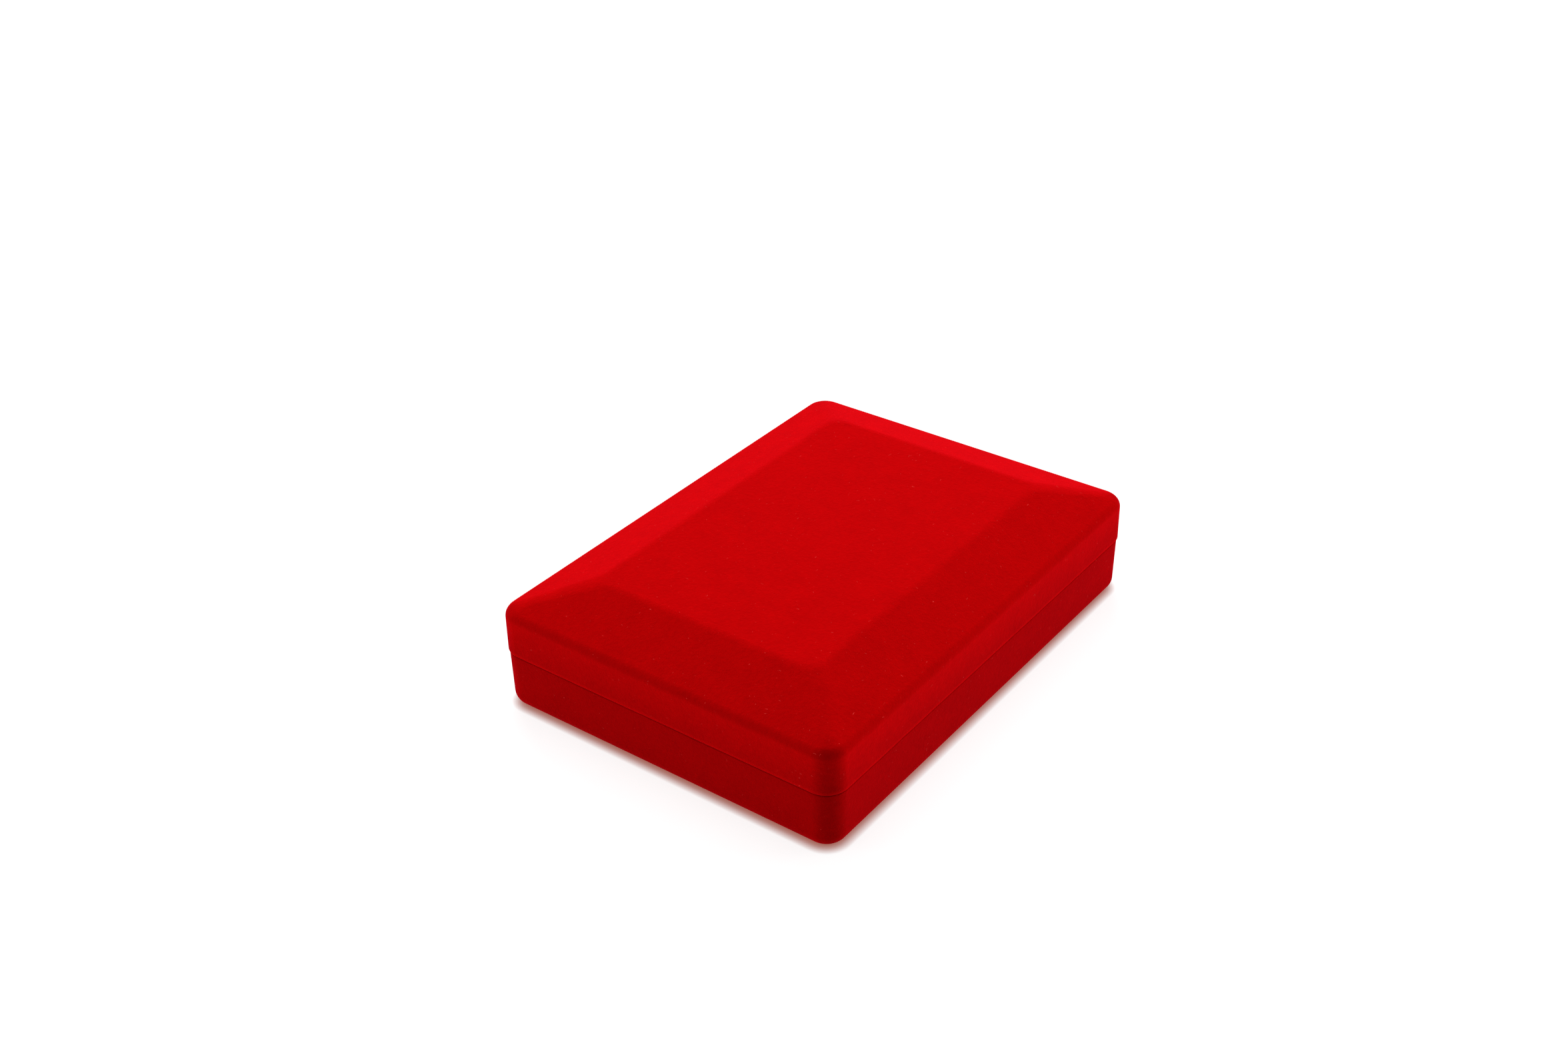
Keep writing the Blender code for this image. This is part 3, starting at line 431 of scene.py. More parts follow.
def outline_loft_tree():
    """Lofts a profile round a rounded rectangle. Each profile point gives a ring: how far in, how high, how much it
    waves, how bare the skin is there, and its least corner radius. The rings close on a ridge where they reach the
    middle, and a ring that is mostly bare gets the bare finish."""
    tree, given = group_with("Outline loft", "GeometryNodeTree", {
        "Profile": "Geometry", "Half Width": "Float", "Half Length": "Float", "Middle": "Float",
        "Corner Radius": "Float", "Corner Steps": "Int", "Side Steps": "Int", "Waviness": "Float",
        "Wave Size": "Float", "Skin": "Material", "Bare": "Material",
    }, {"Loft": "Geometry"})
    sum_of, less, times, over = arithmetic(tree)

    rings = place_node(tree, "GeometryNodeAttributeDomainSize", {0: given["Profile"]}, component="MESH").outputs[0]
    side = sum_of(given["Corner Steps"], given["Side Steps"])
    round_count = times(side, 4.0)
    grid = place_node(tree, "GeometryNodeMeshGrid", {
        "Size X": 1.0, "Size Y": 1.0, "Vertices X": sum_of(round_count, 1.0), "Vertices Y": rings})
    index = tree.nodes.new("GeometryNodeInputIndex").outputs[0]
    ring = maths(tree, "FLOORED_MODULO", index, rings)
    step = maths(tree, "FLOOR", over(sum_of(index, 0.5), rings))

    def of_ring(value, kind):
        return place_node(tree, "GeometryNodeSampleIndex",
                          {0: given["Profile"], "Value": value, "Index": ring}, data_type=kind).outputs[0]

    def named(name):
        return place_node(tree, "GeometryNodeInputNamedAttribute", {"Name": name}, data_type="FLOAT").outputs[0]

    profile_spot = of_ring(tree.nodes.new("GeometryNodeInputPosition").outputs[0], "FLOAT_VECTOR")
    parts = place_node(tree, "ShaderNodeSeparateXYZ", {0: profile_spot}).outputs
    waving = of_ring(named("waving"), "FLOAT")
    bare = of_ring(named("bare"), "FLOAT")
    least_radius = of_ring(named("least_radius"), "FLOAT")

    half_x = maths(tree, "MAXIMUM", less(given["Half Width"], parts["X"]), 0.0)
    half_y = less(given["Half Length"], parts["X"])
    radius = maths(tree, "MAXIMUM", less(given["Corner Radius"], parts["X"]), least_radius)
    radius = maths(tree, "MINIMUM", radius, half_x)
    quarter = maths(tree, "FLOOR", over(sum_of(step, 0.25), side))
    within = less(step, times(quarter, side))
    turn_share = maths(tree, "MINIMUM", over(within, given["Corner Steps"]), 1.0)
    side_share = maths(tree, "MAXIMUM", over(less(within, given["Corner Steps"]), given["Side Steps"]), 0.0)
    angle = times(sum_of(quarter, turn_share), math.pi / 2)

    def corner_sign(function, offset):
        middle = times(sum_of(quarter, 0.5 + offset), math.pi / 2)
        return maths(tree, "SIGN", maths(tree, function, middle))

    def along(function, half):
        here = corner_sign(function, 0.0)
        there = corner_sign(function, 1.0)
        sign = sum_of(times(here, less(1.0, side_share)), times(there, side_share))
        arm = times(sign, less(half, radius))
        return sum_of(arm, times(radius, maths(tree, function, angle)))

    x = along("COSINE", half_x)
    y = sum_of(along("SINE", half_y), given["Middle"])
    flat = place_node(tree, "ShaderNodeCombineXYZ", {"X": x, "Y": y, "Z": parts["Z"]}).outputs[0]
    ripple = noise_at(tree, flat, over(1.0, given["Wave Size"]), 2.0)[0]
    rise = times(times(less(ripple, 0.5), times(given["Waviness"], 2.0)), waving)
    lifted = place_node(tree, "ShaderNodeCombineXYZ", {"Z": rise}).outputs[0]
    spot = maths(tree, "ADD", flat, lifted, kind="ShaderNodeVectorMath")

    kept = place_node(tree, "GeometryNodeStoreNamedAttribute", {
        "Geometry": grid.outputs["Mesh"], "Name": "bare", "Value": bare}, data_type="FLOAT", domain="POINT")
    shaped = place_node(tree, "GeometryNodeSetPosition", {"Geometry": kept.outputs[0], "Position": spot})
    closed = place_node(tree, "GeometryNodeMergeByDistance", {
        "Geometry": shaped.outputs[0], "Distance": MERGE_DISTANCE})
    real = place_node(tree, "GeometryNodeRealizeInstances", {"Geometry": closed.outputs[0]})
    skinned = place_node(tree, "GeometryNodeSetMaterial", {"Geometry": real.outputs[0], "Material": given["Skin"]})
    is_bare = maths(tree, "GREATER_THAN", named("bare"), MOSTLY_BARE)
    lined = place_node(tree, "GeometryNodeSetMaterial", {
        "Geometry": skinned.outputs[0], "Selection": is_bare, "Material": given["Bare"]})
    place_node(tree, "NodeGroupOutput", {"Loft": lined.outputs[0]})
    return tree


outline_loft = outline_loft_tree()


def plain_mesh_of(obj, name):
    """The object with its modifiers applied, as a new object at the origin; the old one goes."""
    bpy.context.view_layer.update()
    depsgraph = bpy.context.evaluated_depsgraph_get()
    mesh = bpy.data.meshes.new_from_object(obj.evaluated_get(depsgraph))
    mesh.name = name
    mesh.transform(obj.matrix_world)
    for slot in reversed(range(len(mesh.materials))):
        if mesh.materials[slot] is None:
            mesh.materials.pop(index=slot)
    bpy.data.objects.remove(obj, do_unlink=True)
    return added(name, mesh)


def facing_out(obj):
    """Points every face of a closed mesh outwards."""
    bm = bmesh.new()
    bm.from_mesh(obj.data)
    bmesh.ops.recalc_face_normals(bm, faces=bm.faces)
    bm.to_mesh(obj.data)
    bm.free()
    return obj


def without_slivers(obj):
    """Joins the points that a Boolean leaves in the same place, so that the cut mesh is closed."""
    bm = bmesh.new()
    bm.from_mesh(obj.data)
    bmesh.ops.remove_doubles(bm, verts=bm.verts, dist=MERGE_DISTANCE)
    bmesh.ops.dissolve_degenerate(bm, edges=bm.edges, dist=MERGE_DISTANCE)
    bm.to_mesh(obj.data)
    bm.free()
    return obj


def rounded_turn(before, corner, after, radius, steps):
    """Profile points that round the corner between two straight runs."""
    to_before = (Vector(before) - Vector(corner)).normalized()
    to_after = (Vector(after) - Vector(corner)).normalized()
    half_angle = to_before.angle(to_after) / 2
    centre = Vector(corner) + (to_before + to_after).normalized() * (radius / math.sin(half_angle))
    first = Vector(corner) + to_before * (radius / math.tan(half_angle)) - centre
    last = Vector(corner) + to_after * (radius / math.tan(half_angle)) - centre
    sweep = first.angle_signed(last)
    return [tuple(centre + Matrix.Rotation(-sweep * step / steps, 2) @ first) for step in range(steps + 1)]


def run_through(points, longest=LONGEST_RUN):
    """The same profile with points added, so that no run of it is longer than the longest."""
    filled = [points[0]]
    for before, after in zip(points, points[1:]):
        pieces = max(1, math.ceil((Vector(after[:2]) - Vector(before[:2])).length / longest))
        for piece in range(1, pieces + 1):
            filled.append(tuple(a + (b - a) * piece / pieces for a, b in zip(before, after)))
    return filled


def marked(points, waving=0.0, bare=0.0):
    """Profile points with how much they wave, how bare their skin is, and their least corner radius."""
    return [(inset, height, waving, bare, LEAST_RADIUS) for inset, height in points]


def lofted(name, profile, sizes, skin, bare, steps=(CORNER_STEPS, SIDE_STEPS), waviness=0.0):
    """Lofts a marked profile with the node tree above, and gives the plain closed mesh."""
    mesh = bpy.data.meshes.new(name + "_profile")
    mesh.from_pydata([(point[0], 0.0, point[1]) for point in profile], [], [])
    for column, attribute in ((2, "waving"), (3, "bare"), (4, "least_radius")):
        values = mesh.attributes.new(attribute, "FLOAT", "POINT")
        values.data.foreach_set("value", [point[column] for point in profile])
    obj = added(name + "_profile", mesh)
    modifier = obj.modifiers.new("Loft", "NODES")
    modifier.node_group = outline_loft
    half_x, half_y, middle, radius = sizes
    chosen = {
        "Half Width": half_x, "Half Length": half_y, "Middle": middle, "Corner Radius": radius,
        "Corner Steps": steps[0], "Side Steps": steps[1], "Waviness": waviness, "Wave Size": WAVE_SIZE,
        "Skin": skin, "Bare": bare,
    }
    for item in outline_loft.interface.items_tree:
        if item.name in chosen:
            modifier[item.identifier] = chosen[item.name]
    return facing_out(plain_mesh_of(obj, name))


CASE_SIZES = (HALF_WIDTH, HALF_LENGTH, 0.0, PLAN_RADIUS)


def piece_from(bm, name, material):
    """Turns a finished bmesh into an object with one finish."""
    mesh = bpy.data.meshes.new(name)
    bm.to_mesh(mesh)
    bm.free()
    mesh.materials.append(material)
    return added(name, mesh)


def prism(name, outline, x_low, x_high, material):
    """A straight bar along X with the outline of (y, z) points."""
    bm = bmesh.new()
    ends = [[bm.verts.new((x, y, z)) for y, z in outline] for x in (x_low, x_high)]
    for i in range(len(outline)):
        j = (i + 1) % len(outline)
        bm.faces.new((ends[0][i], ends[0][j], ends[1][j], ends[1][i]))
    bm.faces.new(ends[0])
    bm.faces.new(ends[1])
    bmesh.ops.recalc_face_normals(bm, faces=bm.faces)
    return piece_from(bm, name, material)


def block(name, x_range, y_range, z_range, material):
    (front, behind), (low, high) = y_range, z_range
    return prism(name, ((front, low), (behind, low), (behind, high), (front, high)), *x_range, material)


def spun(name, profile, place, material, sides=48):
    """A profile of (radius, height) points turned about Z, then put in its place."""
    bm = bmesh.new()
    loops = []
    for radius, height in profile:
        if radius == 0.0:
            loops.append([bm.verts.new((0.0, 0.0, height))] * sides)
            continue
        angles = [2 * math.pi * side / sides for side in range(sides)]
        loops.append([bm.verts.new((radius * math.cos(a), radius * math.sin(a), height)) for a in angles])
    for lower, upper in zip(loops, loops[1:]):
        for i in range(sides):
            j = (i + 1) % sides
            bm.faces.new(list(dict.fromkeys((lower[i], lower[j], upper[j], upper[i]))))
    bmesh.ops.recalc_face_normals(bm, faces=bm.faces)
    bm.transform(place)
    return piece_from(bm, name, material)


def carve(obj, *steps):
    """Cuts or joins each tool in turn with an exact Boolean, keeps the tools' own finishes, and drops the tools."""
    for operation, tool in steps:
        modifier = obj.modifiers.new(operation, "BOOLEAN")
        modifier.object = tool
        modifier.operation = operation
        modifier.solver = "EXACT"
        modifier.material_mode = "TRANSFER"
    made = plain_mesh_of(obj, obj.name)
    for _, tool in steps:
        bpy.data.objects.remove(tool, do_unlink=True)
    return without_slivers(made)


def even_shading(obj, angle=SMOOTH_ANGLE):
    """Smooth shading with true edges kept, weighted by face size so that flat faces stay flat."""
    obj.data.shade_smooth()
    obj.data.set_sharp_from_angle(angle=angle)
    weighted = obj.modifiers.new("Even shading", "WEIGHTED_NORMAL")
    weighted.keep_sharp = True
    return plain_mesh_of(obj, obj.name)


# The sizes of the hinge that the shells are moulded to fit.
HINGE_INSET = 0.0015
HINGE_LENGTH = 0.0360
LID_OPEN_ANGLE = math.radians(95.0)
GROOVE_SPARE = 0.00025
KNUCKLE_RADIUS = 0.0012
LEAF_THICKNESS = 0.0005
PIN_HEAD_THICKNESS = 0.0004
SEAT_EDGE = 0.0003
AXIS_Y = HALF_LENGTH - HINGE_INSET
AXIS_Z = SEAM_HEIGHT
LEAF_FACE_Y = AXIS_Y - KNUCKLE_RADIUS
SEAT_FACE_Y = LEAF_FACE_Y + LEAF_THICKNESS + SEAT_GAP
RELIEF_RADIUS = KNUCKLE_RADIUS + SEAT_GAP
STAKE_BURIED = 0.00075
STAKE_RADIUS = 0.0009
STAKE_HEAD_RADIUS = 0.0016
STAKE_HEAD_THICKNESS = 0.0005
STAKE_DOME_SHARE = 0.8
STAKE_DOME_STEPS = 8
STAKE_SPACING = 0.0260
BASE_STAKE_DROP = 0.0050
BASE_LEAF_HEIGHT = 0.0087
RIVET_DROP = 0.0050
RIVET_HEAD_RADIUS = 0.0012
RIVET_TAIL_THICKNESS = 0.0002


def hinge_groove(name, skin):
    """The V along the back of the seam that lets the lid swing, and stops it when its faces meet."""
    apex = AXIS_Y - GROOVE_SPARE
    depth = HINGE_INSET + GROOVE_SPARE + OVERRUN
    rise = depth * math.tan(LID_OPEN_ANGLE / 2)
    outline = ((apex, AXIS_Z), (apex + depth, AXIS_Z + rise), (apex + depth, AXIS_Z - rise))
    return prism(name, outline, -HALF_WIDTH - OVERRUN, HALF_WIDTH + OVERRUN, skin)


def knuckle_space(name):
    """Room for the rolled knuckles and the pin's heads in the back edge."""
    reach = HINGE_LENGTH / 2 + SEAT_GAP * 2 + PIN_HEAD_THICKNESS
    profile = [(0.0, reach), (RELIEF_RADIUS, reach), (RELIEF_RADIUS, -reach), (0.0, -reach)]
    place = Matrix.Translation((0.0, AXIS_Y, AXIS_Z)) @ Matrix.Rotation(math.pi / 2, 4, "Y")
    return spun(name, profile, place, bare_plastic)


def facing_front(x, y, z):
    return Matrix.Translation((x, y, z)) @ Matrix.Rotation(math.pi / 2, 4, "X")


def melted_stake(name, x, z):
    """A moulded peg that passes a hole in the leaf and is melted over into a domed head."""
    root = HALF_LENGTH - LIP_OVERHANG - STAKE_BURIED
    neck = LEAF_FACE_Y - SEAT_GAP
    tip = neck - STAKE_HEAD_THICKNESS
    profile = [(0.0, -tip)]
    for step in range(1, STAKE_DOME_STEPS + 1):
        turn = math.pi / 2 * step / STAKE_DOME_STEPS
        sag = STAKE_HEAD_THICKNESS * (1 - math.cos(turn)) * STAKE_DOME_SHARE
        profile.append((STAKE_HEAD_RADIUS * math.sin(turn), -tip - sag))
    profile += [(STAKE_HEAD_RADIUS, -neck), (STAKE_RADIUS, -neck), (STAKE_RADIUS, -root), (0.0, -root)]
    return spun(name, profile, facing_front(x, 0.0, z), bare_plastic)


def hinge_seat(name, low_z, high_z):
    reach = HINGE_LENGTH / 2 + SEAT_EDGE
    embedded = HALF_LENGTH - LIP_OVERHANG - STAKE_BURIED
    return block(name, (-reach, reach), (SEAT_FACE_Y, embedded), (low_z, high_z), bare_plastic)


base_rim_z = SEAM_HEIGHT - SEAM_GAP / 2 + PILE_FILL
foot_inset = LIP_OVERHANG + BASE_TAPER
inner_foot = foot_inset + WALL
under_middle = (HALF_WIDTH, 0.0)
foot = (foot_inset, 0.0)
lip = (LIP_OVERHANG, base_rim_z)
inner_lip = (LIP_OVERHANG + WALL, base_rim_z)
inner_corner = (inner_foot, WALL)
inside_middle = (HALF_WIDTH, WALL)
outside = [under_middle] + rounded_turn(under_middle, foot, lip, FOOT_RADIUS, TURN_STEPS)
edge = rounded_turn(foot, lip, inner_lip, LIP_RADIUS, LIP_STEPS)
inner_edge = rounded_turn(lip, inner_lip, inner_corner, INNER_LIP_RADIUS, INNER_LIP_STEPS)
inside = rounded_turn(inner_lip, inner_corner, inside_middle, FOOT_RADIUS - WALL, TURN_STEPS) + [inside_middle]
base_profile = marked(outside) + marked(edge, 1.0)
base_profile = run_through(base_profile + marked(inner_edge, INNER_LIP_WAVE, 1.0) + marked(inside, 0.0, 1.0))
base = lofted("base_shell_flocked", base_profile, CASE_SIZES, flock_base, bare_plastic, waviness=LIP_WAVINESS)

rim_outer = WALL + SEAT_GAP
rim_inner = rim_outer + RIM_THICKNESS
rim_top = SEAM_HEIGHT + RIM_HEIGHT
root_top = base_rim_z - SEAM_GAP
root_foot = base_rim_z - RIM_ROOT_DEPTH
rim_profile = [
    (RIM_BURIED, root_foot),
    (RIM_BURIED, root_top),
    (rim_outer, root_top),
    (rim_outer, rim_top - RIM_LEAD_IN),
    (rim_outer + RIM_CHAMFER, rim_top),
    (rim_inner, rim_top),
    (rim_inner, root_foot + RIM_THICKNESS),
    (rim_outer, root_foot),
    (RIM_BURIED, root_foot),
]
rim = lofted("locating_rim", marked(rim_profile, 0.0, 1.0), CASE_SIZES, bare_plastic, bare_plastic)
past_back = (HALF_LENGTH - LIP_OVERHANG - WALL - RIM_BACK_END, HALF_LENGTH + OVERRUN)
past_rim = (root_foot - OVERRUN, rim_top + OVERRUN)
rim_end = block("rim_end", (-HALF_WIDTH, HALF_WIDTH), past_back, past_rim, bare_plastic)
rim = carve(rim, ("DIFFERENCE", rim_end))
pocket_depth = SEAT_FACE_Y + SEAT_GAP + RIVET_TAIL_THICKNESS
pocket_radius = RIVET_HEAD_RADIUS + SEAT_GAP
pocket = spun("rivet_pocket", [(0.0, OVERRUN), (pocket_radius, OVERRUN), (pocket_radius, 0.0), (0.0, 0.0)],
              facing_front(0.0, pocket_depth, AXIS_Z - RIVET_DROP), bare_plastic)
base = carve(
    base,
    ("UNION", rim),
    ("DIFFERENCE", hinge_groove("base_groove", flock_base)),
    ("UNION", hinge_seat("base_seat", AXIS_Z - BASE_LEAF_HEIGHT, AXIS_Z - RELIEF_RADIUS - SEAT_EDGE)),
    ("UNION", melted_stake("base_stake_left", -STAKE_SPACING / 2, AXIS_Z - BASE_STAKE_DROP)),
    ("UNION", melted_stake("base_stake_right", STAKE_SPACING / 2, AXIS_Z - BASE_STAKE_DROP)),
    ("DIFFERENCE", knuckle_space("base_knuckle_space")),
    ("DIFFERENCE", pocket),
)
base = even_shading(base)
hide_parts("base_shell")
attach(base, "base")


# The hinge: two stamped and rolled leaves of brassed sheet, each on two melted pegs, on one headed pin. The lid's
# knuckle is squared into a cam, and a flat steel spring, riveted to the lower leaf, presses on it and snaps the lid.
STAMPED_EDGE = 0.00006
SHEARED_ANGLE = math.radians(40.0)
FLAT_ANGLE = math.radians(1.0)
PIN_RADIUS = 0.0006
PIN_HEAD_RADIUS = 0.0009
SPRING_THICKNESS = 0.0003
RIVET_RADIUS = 0.0006
RIVET_HEAD_THICKNESS = 0.0003
DOME_SHARE = 0.7
STAIN_SIZE = 0.0035
SCRATCH_SCALE = 420.0
SCRATCH_RELIEF = (0.3, 0.00002)
LEAF_BACK_Y = LEAF_FACE_Y + LEAF_THICKNESS
SPRING_FACE_Y = LEAF_FACE_Y - SEAT_GAP - SPRING_THICKNESS


def handled_metal_group():
    """Plated metal that has been tumbled and handled: fine scratches, faint stains and an uneven polish."""
    group, given = group_with("Handled metal", "ShaderNodeTree", {
        "Colour": "Color", "Stain Colour": "Color", "Stain Size": "Float", "Smoothest": "Float", "Roughest": "Float",
    }, {"Colour": "Color", "Roughness": "Float", "Height": "Float"})
    sum_of, less, times, over = arithmetic(group)
    spot = group.nodes.new("ShaderNodeTexCoord").outputs["Object"]
    stain = noise_at(group, spot, over(1.0, given["Stain Size"]), 5.0, 0.65)["Fac"]
    stained = ranged(group, stain, 0.52, 0.78, 0.0, 0.75)
    scratches = []
    for turn, stretch in (((0.0, 0.1, 0.4), (30.0, 1.0, 1.0)), ((0.2, 0.0, 1.3), (24.0, 1.0, 1.0))):
        line = noise_at(group, stretched(group, spot, turn, stretch), SCRATCH_SCALE, 3.0, 0.7)["Fac"]
        scratches.append(ranged(group, line, 0.60, 0.70))
    scratched = maths(group, "MAXIMUM", *scratches)
    spread = less(given["Roughest"], given["Smoothest"])
    dulled = maths(group, "MAXIMUM", stain, times(scratched, 0.8))
    place_node(group, "NodeGroupOutput", {
        "Colour": colour_between(group, stained, given["Colour"], given["Stain Colour"]),
        "Roughness": sum_of(given["Smoothest"], times(spread, dulled)),
        "Height": less(1.0, scratched)})
    return group


handled_metal = handled_metal_group()


def metal_material(name, colour, stain_colour, smoothest, roughest):
    """A plated sheet metal with the handled finish."""
    material, tree = new_material(name)
    handled = place_node(tree, "ShaderNodeGroup", {
        "Colour": colour, "Stain Colour": stain_colour, "Stain Size": STAIN_SIZE,
        "Smoothest": smoothest, "Roughest": roughest}, node_tree=handled_metal).outputs
    one_finish(tree, {
        "Base Color": handled["Colour"], "Roughness": handled["Roughness"], "Metallic": 1.0,
        "Normal": raised(tree, handled["Height"], *SCRATCH_RELIEF)})
    return material


brass = metal_material("brassed_leaf", (0.74, 0.53, 0.23, 1.0), (0.42, 0.27, 0.11, 1.0), 0.20, 0.46)
pin_steel = metal_material("drawn_wire", (0.60, 0.59, 0.57, 1.0), (0.34, 0.32, 0.30, 1.0), 0.16, 0.38)
spring_steel = metal_material("blued_spring_steel", (0.46, 0.48, 0.51, 1.0), (0.26, 0.26, 0.30, 1.0), 0.22, 0.45)


def worked_copy(node, name, edge_radius, material):
    """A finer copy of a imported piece: its triangles joined, its flat faces made whole, its sheared edges eased."""
    bm = bmesh.new()
    bm.from_mesh(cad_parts[node].data)
    bmesh.ops.remove_doubles(bm, verts=bm.verts, dist=MERGE_DISTANCE)
    bmesh.ops.dissolve_limit(bm, angle_limit=FLAT_ANGLE, verts=bm.verts, edges=bm.edges)
    obj = piece_from(bm, name, material)
    eased = obj.modifiers.new("Eased edges", "BEVEL")
    eased.width = edge_radius
    eased.segments = 2
    eased.limit_method = "ANGLE"
    eased.angle_limit = SHEARED_ANGLE
    return even_shading(plain_mesh_of(obj, name))


def dome(radius, foot, height, direction, steps=7):
    """Profile points of a low dome, from its rim to its top."""
    points = []
    for step in range(1, steps + 1):
        turn = math.pi / 2 * step / steps
        points.append((radius * math.cos(turn) if step < steps else 0.0, foot + direction * height * math.sin(turn)))
    return points


for leaf_node, leaf_body in (("hinge_base_leaf", "base"), ("hinge_lid_leaf", "lid")):
    leaf = worked_copy(leaf_node, leaf_node + "_rolled", STAMPED_EDGE, brass)
    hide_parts(leaf_node)
    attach(leaf, leaf_body)

shank = HINGE_LENGTH / 2 + SEAT_GAP
head_rise = PIN_HEAD_THICKNESS * DOME_SHARE
head_wall = PIN_HEAD_THICKNESS - head_rise
pin_end = [(PIN_RADIUS, shank), (PIN_HEAD_RADIUS, shank), (PIN_HEAD_RADIUS, shank + head_wall)]
pin_end += dome(PIN_HEAD_RADIUS, shank + head_wall, head_rise, 1)
pin_profile = pin_end[::-1] + [(radius, -height) for radius, height in pin_end]
lying = Matrix.Translation((0.0, AXIS_Y, AXIS_Z)) @ Matrix.Rotation(math.pi / 2, 4, "Y")
pin = even_shading(spun("hinge_pin_headed", pin_profile, lying, pin_steel))
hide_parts("hinge_pin")
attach(pin, "base")

spring = worked_copy("hinge_spring", "hinge_spring_leaf", STAMPED_EDGE, spring_steel)
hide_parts("hinge_spring")
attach(spring, "base")

head_back = SPRING_FACE_Y - SEAT_GAP
tail_front = LEAF_BACK_Y + SEAT_GAP
rivet_dome = RIVET_HEAD_THICKNESS * DOME_SHARE
rivet_profile = dome(RIVET_HEAD_RADIUS, -head_back + RIVET_HEAD_THICKNESS - rivet_dome, rivet_dome, 1)[::-1]
rivet_profile += [
    (RIVET_HEAD_RADIUS, -head_back + RIVET_HEAD_THICKNESS - rivet_dome),
    (RIVET_HEAD_RADIUS, -head_back),
    (RIVET_RADIUS, -head_back),
    (RIVET_RADIUS, -tail_front),
    (RIVET_HEAD_RADIUS, -tail_front),
    (RIVET_HEAD_RADIUS, -tail_front - RIVET_TAIL_THICKNESS),
    (0.0, -tail_front - RIVET_TAIL_THICKNESS),
]
rivet = even_shading(spun("spring_rivet_domed", rivet_profile, facing_front(0.0, 0.0, AXIS_Z - RIVET_DROP), brass))
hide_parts("spring_rivet")
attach(rivet, "base")


# The pad's platform: grey board folded into a tray that stands upside down on the floor of the case. The chain of a
# pendant goes through the two slanted slits into the space under it.
PAD_SIDE_CLEARANCE = 0.0003
PAD_BACK_SPACE = 0.0030
PAD_CORNER_RADIUS = 0.0022
COVER_THICKNESS = 0.0005
CHAIN_SPACE_HEIGHT = 0.0046
BOARD_THICKNESS = 0.0008
BOARD_FOLD_RADIUS = 0.0004
BOARD_FOLD_STEPS = 4
BOARD_GREY = (0.56, 0.52, 0.45)
SLIT_WIDTH = 0.0012
SLIT_LENGTH = 0.0090
SLIT_INSET = 0.0110
SLIT_ANGLE = math.radians(45.0)
PAD_STEPS = (10, 44)
PAD_OUTER_INSET = WALL + SEAT_GAP + RIM_THICKNESS + PAD_SIDE_CLEARANCE
PLATFORM_INSET = PAD_OUTER_INSET + COVER_THICKNESS + SEAT_GAP
PLATFORM_FOOT = WALL + SEAT_GAP
PLATFORM_UNDER = PLATFORM_FOOT + CHAIN_SPACE_HEIGHT
PLATFORM_TOP = PLATFORM_UNDER + BOARD_THICKNESS


def board_material():
    """Grey board: short paper fibres of several greys, a soft tooth and a few darker flecks."""
    material, tree = new_material("grey_board")
    spot = tree.nodes.new("ShaderNodeTexCoord").outputs["Object"]
    drawn = stretched(tree, spot, stretch=(1.0, 0.35, 1.0))
    fibre = noise_at(tree, drawn, 2200.0, 4.0, 0.7)["Fac"]
    fleck = cells_at(tree, drawn, 700.0)["Distance"]
    dark = ranged(tree, fleck, 0.10, 0.16, 0.72, 1.0)
    shade = maths(tree, "MULTIPLY", ranged(tree, fibre, 0.0, 1.0, 0.86, 1.12), dark)
    one_finish(tree, {
        "Base Color": scaled(tree, BOARD_GREY, shade), "Roughness": 0.88, "Specular IOR Level": 0.25,
        "Normal": raised(tree, fibre, 0.5, 0.00005)})
    return material


grey_board = board_material()


def pad_sizes(side_inset):
    """Half sizes, middle and corners of a pad piece, which ends short of the hinge at the back."""
    front = -HALF_LENGTH + side_inset
    back_end = HALF_LENGTH - LIP_OVERHANG - WALL - PAD_BACK_SPACE - (side_inset - PAD_OUTER_INSET)
    return (HALF_WIDTH - side_inset, (back_end - front) / 2, (back_end + front) / 2, PAD_CORNER_RADIUS)


def chain_slit(name, side, material, lean):
    """The tool that cuts one slanted slit through the pad, narrower where the cut edge leans over it."""
    low_high = (PLATFORM_UNDER - OVERRUN, SEAM_HEIGHT + OVERRUN)
    half = SLIT_LENGTH / 2 - lean
    slit = block(name, (-half, half), (lean - SLIT_WIDTH / 2, SLIT_WIDTH / 2 - lean), low_high, material)
    spot = (side * (HALF_WIDTH - SLIT_INSET), HALF_LENGTH - PAD_BACK_SPACE - SLIT_INSET, 0.0)
    slit.data.transform(Matrix.Translation(spot) @ Matrix.Rotation(-side * SLIT_ANGLE, 4, "Z"))
    return slit


def slit_through(obj, material, lean=0.0):
    """Both slits cut through a piece of the pad."""
    tools = [("DIFFERENCE", chain_slit(obj.name + "_slit", side, material, lean)) for side in (-1, 1)]
    return carve(obj, *tools)


platform_sizes = pad_sizes(PLATFORM_INSET)
middle = platform_sizes[0]
under = [(middle, PLATFORM_UNDER), (BOARD_THICKNESS, PLATFORM_UNDER), (BOARD_THICKNESS, PLATFORM_FOOT)]
board_edge = (0.0, PLATFORM_FOOT)
board_fold = (0.0, PLATFORM_TOP)
board_middle = (middle, PLATFORM_TOP)
over = rounded_turn(board_edge, board_fold, board_middle, BOARD_FOLD_RADIUS, BOARD_FOLD_STEPS)
board_profile = marked(under + [board_edge] + over + [board_middle])
platform = lofted("pad_platform_folded", board_profile, platform_sizes, grey_board, grey_board, PAD_STEPS)
platform = even_shading(slit_through(platform, grey_board))
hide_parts("pad_platform")
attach(platform, "base")


